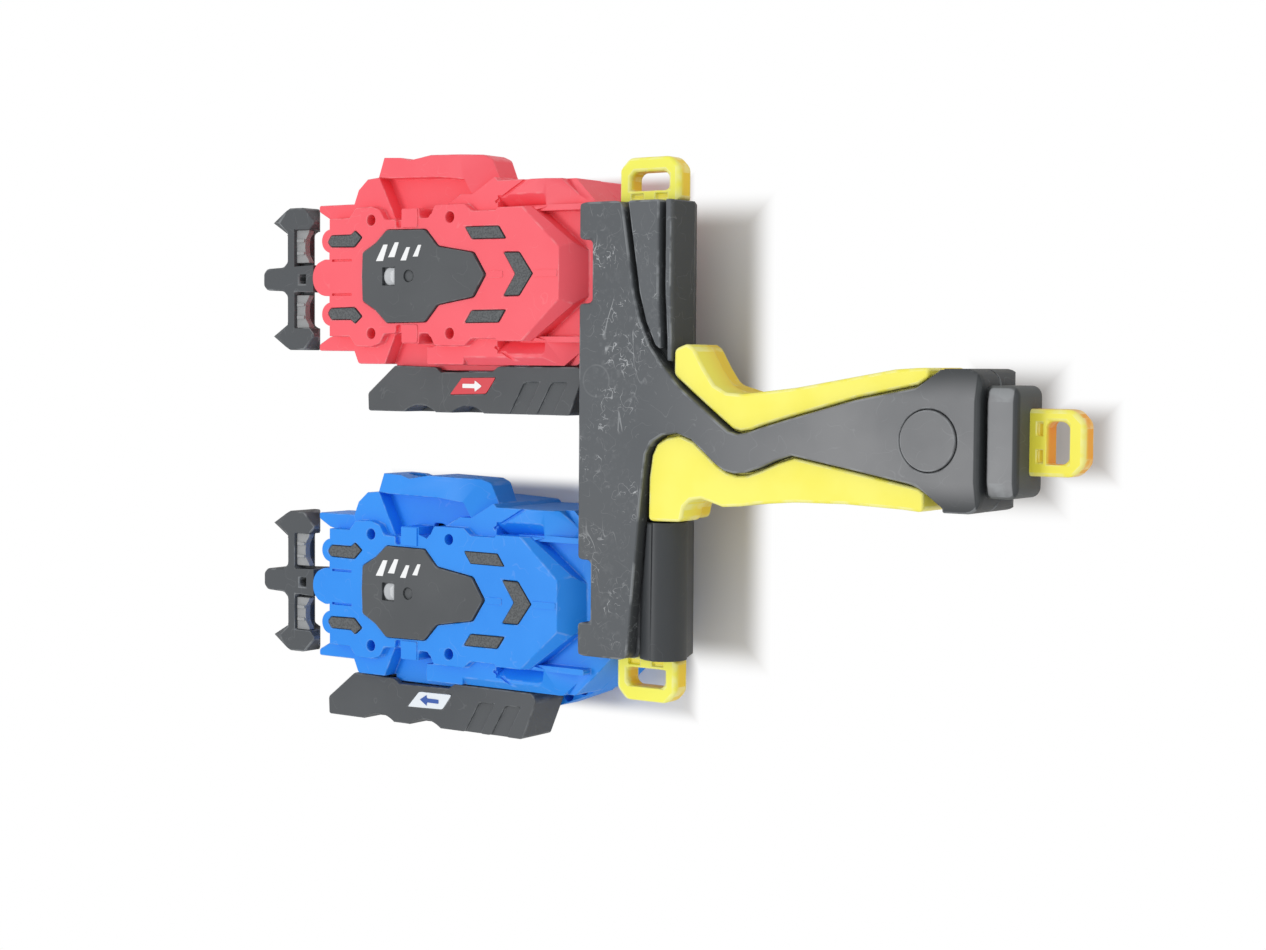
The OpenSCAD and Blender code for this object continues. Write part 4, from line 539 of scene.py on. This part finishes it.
def round_edges(form, name, flat_mm, upright_mm=None, end_mm=None, segments=2):
    """A mesh from the form with its sharp edges rounded, the upright corners by their own radius, and
    those beyond the pommel's start by a third. Where a rounding spoils the shape, it is made smaller
    there. The rounded strips carry the attribute rim."""
    upright_mm = upright_mm or flat_mm
    widest = max(flat_mm, upright_mm, end_mm or 0) * MM
    share = form.edges.layers.float.new("bevel_weight_edge")
    sharp = [edge for edge in form.edges
             if len(edge.link_faces) == 2 and edge.calc_face_angle(0) > SHARP]
    for edge, room in edge_rooms(form, sharp).items():
        edge.smooth = False
        first, second = (v.co for v in edge.verts)
        radius = flat_mm
        if abs(first.z - second.z) > 0.9 * (first - second).length:
            radius = end_mm if end_mm and first.x > POMMEL_START * MM else upright_mm
        elif end_mm and all(v.x > (POMMEL_END - 0.6) * MM and v.z > 30 * MM for v in (first, second)):
            radius = end_mm / 2
        edge[share] = min(radius * MM, room * ROOM_SHARE) / widest
    for face in form.faces:
        face.smooth = True
    mesh = mesh_of(form, name)
    maker = new_piece(name, mesh)
    for finish in (FINISH["matte_black"], FINISH["satin_grey"]):
        mesh.materials.append(finish)
    soft = maker.modifiers.new("edges", "BEVEL")
    soft.limit_method = "WEIGHT"
    soft.segments = segments
    soft.material = 1
    soft.harden_normals = True
    soft.use_clamp_overlap = False
    soft.width = widest
    original = BVHTree.FromPolygons([v.co for v in mesh.vertices], [f.vertices for f in mesh.polygons])
    weights = mesh.attributes["bevel_weight_edge"].data
    for attempt in range(ATTEMPTS):
        done = bpy.data.meshes.new_from_object(maker.evaluated_get(bpy.context.evaluated_depsgraph_get()))
        corners = spoiled(done, original, widest)
        if not corners or attempt == ATTEMPTS - 1:
            break
        marks = KDTree(len(corners))
        for i, corner in enumerate(corners):
            marks.insert(corner, i)
        marks.balance()
        for edge, weight in zip(mesh.edges, weights):
            nearest = min(marks.find(mesh.vertices[i].co)[2] for i in edge.vertices) if weight.value else 1.0
            if nearest < REPAIR_REACH:
                weight.value *= 0.4 if attempt < ATTEMPTS // 2 else 0.0
        mesh.update()
    bpy.data.objects.remove(maker)
    rim = done.attributes.new("rim", "FLOAT", "FACE")
    rim.data.foreach_set("value", [float(face.material_index) for face in done.polygons])
    done.polygons.foreach_set("material_index", [0] * len(done.polygons))
    return done


def rounded(node, flat_mm, upright_mm=None, end_mm=None, segments=2, finish=None, shape=None):
    """A carried-over part whose moulded edges are rounded."""
    form = merged_copy(node)
    if shape:
        shape(form)
    mesh = round_edges(form, node + "_form", flat_mm, upright_mm, end_mm, segments)
    piece = new_piece(node + "_skin", mesh)
    place_piece(piece, body_of_node(node), SLOT_OF[node], node, finish=finish)


def everything(form):
    return form.verts[:] + form.edges[:] + form.faces[:]


def clip_corners(form):
    """Cuts the pommel's two rear corners round. The pommel is first parted from the rest, so that no cut
    reaches the crossbar."""
    radius = POMMEL_CORNER * MM

    def pommel():
        verts = [v for v in form.verts if v.co.x > POMMEL_START * MM - 1e-6]
        inside = set(verts)
        return verts + [g for g in form.edges[:] + form.faces[:] if all(v in inside for v in g.verts)]

    bmesh.ops.bisect_plane(form, geom=everything(form), dist=1e-7, plane_co=(POMMEL_START * MM, 0, 0),
                           plane_no=(1, 0, 0))
    for side in (1, -1):
        centre = Vector((POMMEL_END * MM - radius, (GRIP_Y + side * POMMEL_HALF) * MM - side * radius, 0))
        for angle in (15, 30, 45, 60, 75):
            out = Vector((math.cos(math.radians(angle)), side * math.sin(math.radians(angle)), 0))
            cut = bmesh.ops.bisect_plane(form, geom=pommel(), dist=1e-7, plane_co=centre + out * radius,
                                         plane_no=out, clear_outer=True)
            ends = [e for e in cut["geom_cut"] if isinstance(e, bmesh.types.BMEdge)]
            bmesh.ops.holes_fill(form, edges=ends)
    bmesh.ops.dissolve_limit(form, angle_limit=LEVEL, verts=form.verts, edges=form.edges)


def upright_solid(name, outline, low, high, dome=0.0):
    """A flat solid over an outline of (x, y) in millimetres, its top raised in the middle by dome."""
    form = bmesh.new()
    count = len(outline)
    levels = [(1.0, low), (1.0, high), (0.8, high + dome * 0.5), (0.45, high + dome * 0.9)]
    mid = Vector((sum(p[0] for p in outline) / count, sum(p[1] for p in outline) / count))
    rings = []
    for share, height in levels:
        rings.append([form.verts.new(((mid.x + (x - mid.x) * share) * MM, (mid.y + (y - mid.y) * share) * MM,
                                      height * MM)) for x, y in outline])
    join_rings(form, rings)
    return new_piece(name, mesh_of(form, name))


def crown_lens(side):
    """The D-shaped window's lens and the eight-sided button over the head axis."""
    y = LAUNCHERS[side]
    bow = [(HEAD_X - 5.25, y - 2.35), (HEAD_X - 5.25, y + 2.35)]
    bow += [(HEAD_X - 7.2 - 2.35 * math.sin(math.radians(a)), y + 2.5 * math.cos(math.radians(a)))
            for a in range(10, 171, 20)]
    place_piece(upright_solid(side + "_crown_lens", bow, 31.6, 32.05, 0.35), side + "_case", "satin_grey",
                finish=LENS_FINISH)
    button = [(HEAD_X + 1.55 * math.cos(math.radians(a)), y + 1.55 * math.sin(math.radians(a)))
              for a in range(22, 382, 45)]
    button = upright_solid(side + "_crown_button", button, 32.02, 32.2, 0.15)
    place_piece(button, side + "_case", "matte_black")


# The pommel's cap, in millimetres: its half width and rear, the rings that its wall goes up by as inset,
# height and front, its corners' radii at front and rear, and the fall of its top's ends in degrees
CAP_HALF = 13.4
CAP_REAR = 117.1
CAP_RINGS = [(1.0, 16.6, 108.2), (0, 17.6, 108.2), (0, 29.0, 108.2), (0, 30.4, 109.2), (0.2, 30.95, 109.2),
             (0.6, 31.3, 109.2), (1.2, 31.4, 109.2)]
CAP_CORNERS = (1.4, 2.6)
CAP_FALL = 14


def cap_ring(form, inset, height, front):
    """The verts of one level of the cap, anticlockwise from the rear corner on the red side."""
    verts = []
    for along, side, first in ((1, 1, 0), (0, 1, 90), (0, -1, 180), (1, -1, 270)):
        corner = CAP_CORNERS[along]
        x = CAP_REAR - corner if along else front + corner
        y = GRIP_Y + side * (CAP_HALF - corner)
        for step in range(7):
            angle = math.radians(first + step * 15)
            verts.append(form.verts.new(((x + (corner - inset) * math.cos(angle)) * MM,
                                         (y + (corner - inset) * math.sin(angle)) * MM, height * MM)))
    return verts


def cap_block():
    """The pommel's cap: rounded corners, and a top that falls towards both ends."""
    form = bmesh.new()
    join_rings(form, [cap_ring(form, *ring) for ring in CAP_RINGS])
    for side in (1, -1):
        bmesh.ops.bisect_plane(form, geom=everything(form), dist=1e-7, plane_no=(0, 1, 0),
                               plane_co=(0, (GRIP_Y + side * POMMEL_FLAT) * MM, 0))
    for vert in form.verts:
        beyond = abs(vert.co.y - GRIP_Y * MM) - POMMEL_FLAT * MM
        if vert.co.z > 30 * MM and beyond > 0:
            vert.co.z -= beyond * math.tan(math.radians(CAP_FALL))
    for face in form.faces:
        face.smooth = True
    for edge in form.edges:
        edge.smooth = edge.calc_face_angle(0) < SHARP
    mesh = mesh_of(form, "cap_block")
    # the cap's rounded top edge, which the finish paints paler: wear and a painted highlight
    rim = mesh.attributes.new("rim", "FLOAT", "FACE")
    rim.data.foreach_set("value", [float(30.6 * MM < face.center.z < 31.3 * MM) for face in mesh.polygons])
    place_piece(new_piece("cap_block", mesh), "grip", "charcoal_grip", "pommel_cap", finish=CAP_FINISH)


# The pull cord, in millimetres: its size and height, and x of its bend in the bush and of its knot in the
# handle; and the number of its sides
CORD_RADIUS = 0.8
CORD_HEIGHT = 22.4
CORD_BEND = HEAD_X - 28.4
KNOT = -115.6
CORD_SIDES = 16


def braid(side):
    """The pull cord, from the reel through the bush to the knot."""
    y = LAUNCHERS[side]
    path = [Vector((-31.0, y + 12.5, CORD_HEIGHT)), Vector((CORD_BEND, y, CORD_HEIGHT)),
            Vector((KNOT, y, CORD_HEIGHT))]
    stations = []
    for start, end, count in ((path[0], path[1], 24), (path[1], path[2], 96)):
        stations += [(start.lerp(end, i / count), (end - start).normalized()) for i in range(count)]
    stations.append((path[2], Vector((-1, 0, 0))))
    form = bmesh.new()
    rings = []
    for place, along in stations:
        across = along.cross(Vector((0, 0, 1))).normalized()
        rings.append([form.verts.new((place + (across * math.cos(a) + Vector((0, 0, 1)) * math.sin(a))
                                      * CORD_RADIUS) * MM)
                      for a in (math.tau * i / CORD_SIDES for i in range(CORD_SIDES))])
    for lower, upper in zip(rings, rings[1:]):
        for i in range(CORD_SIDES):
            after = (i + 1) % CORD_SIDES
            form.faces.new((lower[i], upper[i], upper[after], lower[after])).smooth = True
    form.faces.new(rings[0])
    form.faces.new(reversed(rings[-1]))
    knot = bmesh.ops.create_icosphere(form, subdivisions=3, radius=CORD_RADIUS * 1.5 * MM,
                                      matrix=Matrix.Translation(path[2] * MM))
    for vert in knot["verts"]:
        turn = math.atan2(vert.co.y - y * MM, vert.co.z - CORD_HEIGHT * MM) * 3 + vert.co.x * 4000
        vert.co += (vert.co - path[2] * MM) * 0.12 * math.sin(turn)
        for face in vert.link_faces:
            face.smooth = True
    bmesh.ops.recalc_face_normals(form, faces=form.faces)
    piece = new_piece(side + "_braid", mesh_of(form, side + "_braid"))
    piece.data.materials.append(FINISH["cord"])
    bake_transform(piece)
    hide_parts(side + "_pull_cord")


# ---------------------------------------------------------------- the object
set_camera()
area_light("key", (-0.36, -0.03, 0.8), 0.28, 1.7)
world = bpy.data.worlds.new("studio")
world.use_nodes = True
world.node_tree.nodes["Background"].inputs["Color"].default_value = (1, 1, 1, 1)
world.node_tree.nodes["Background"].inputs["Strength"].default_value = 0.79
bpy.context.scene.world = world
bpy.context.scene.view_settings.view_transform = "Standard"

floor_mesh = bpy.data.meshes.new("floor")
floor_mesh.from_pydata([(-4, -4, 0), (4, -4, 0), (4, 4, 0), (-4, 4, 0)], [], [(0, 1, 2, 3)])
floor = new_piece("floor", floor_mesh)
floor.data.materials.append(pale_floor())

for node in NODES:
    NODES[node].data.materials.clear()
    NODES[node].data.materials.append(FINISH[SLOT_OF[node]])

for side in LAUNCHERS:
    rounded(side + "_top_shell", 0.32, 0.8)
    rounded(side + "_bottom_shell", 0.32, 0.8)
    rounded(side + "_crown_cover", 0.25, 0.7)
    rounded(side + "_selector_bar", 0.4, 0.9)
    rounded(side + "_selector_label", 0.12, 0.9)
    rounded(side + "_pull_handle", 0.5, 0.9, finish=HANDLE_FINISH)
    rounded(side + "_handle_pads", 0.25, 0.4)
    rounded(side + "_grip_inserts", 0.18, 0.4)
    rounded(side + "_launch_head", 0.25)
    crown_lens(side)
    braid(side)
rounded("crossbar_shell", 0.55, 2.6, None, 3)
for node in ("spine_cover", "back_cover"):
    rounded(node, 0.55, 2.6, 1.6, 3, shape=clip_corners)
rounded("shoulder_cover", 0.55, 2.6, None, 3, SHOULDER_FINISH)
rounded("barrel_cover", 0.5, 1.2, finish=BARREL_FINISH)
cap_block()
rounded("thumb_disc", 0.35)
for node in ("upper_front_panel", "upper_back_panel", "lower_front_panel", "lower_back_panel"):
    rounded(node, 0.8, 1.5, None, 3)
rounded("handle_loop", 1.1, 1.5, None, 3)
for node in ("red_side_loop", "blue_side_loop"):
    rounded(node, 1.1, 1.5, None, 3, SIDE_LOOP_FINISH)
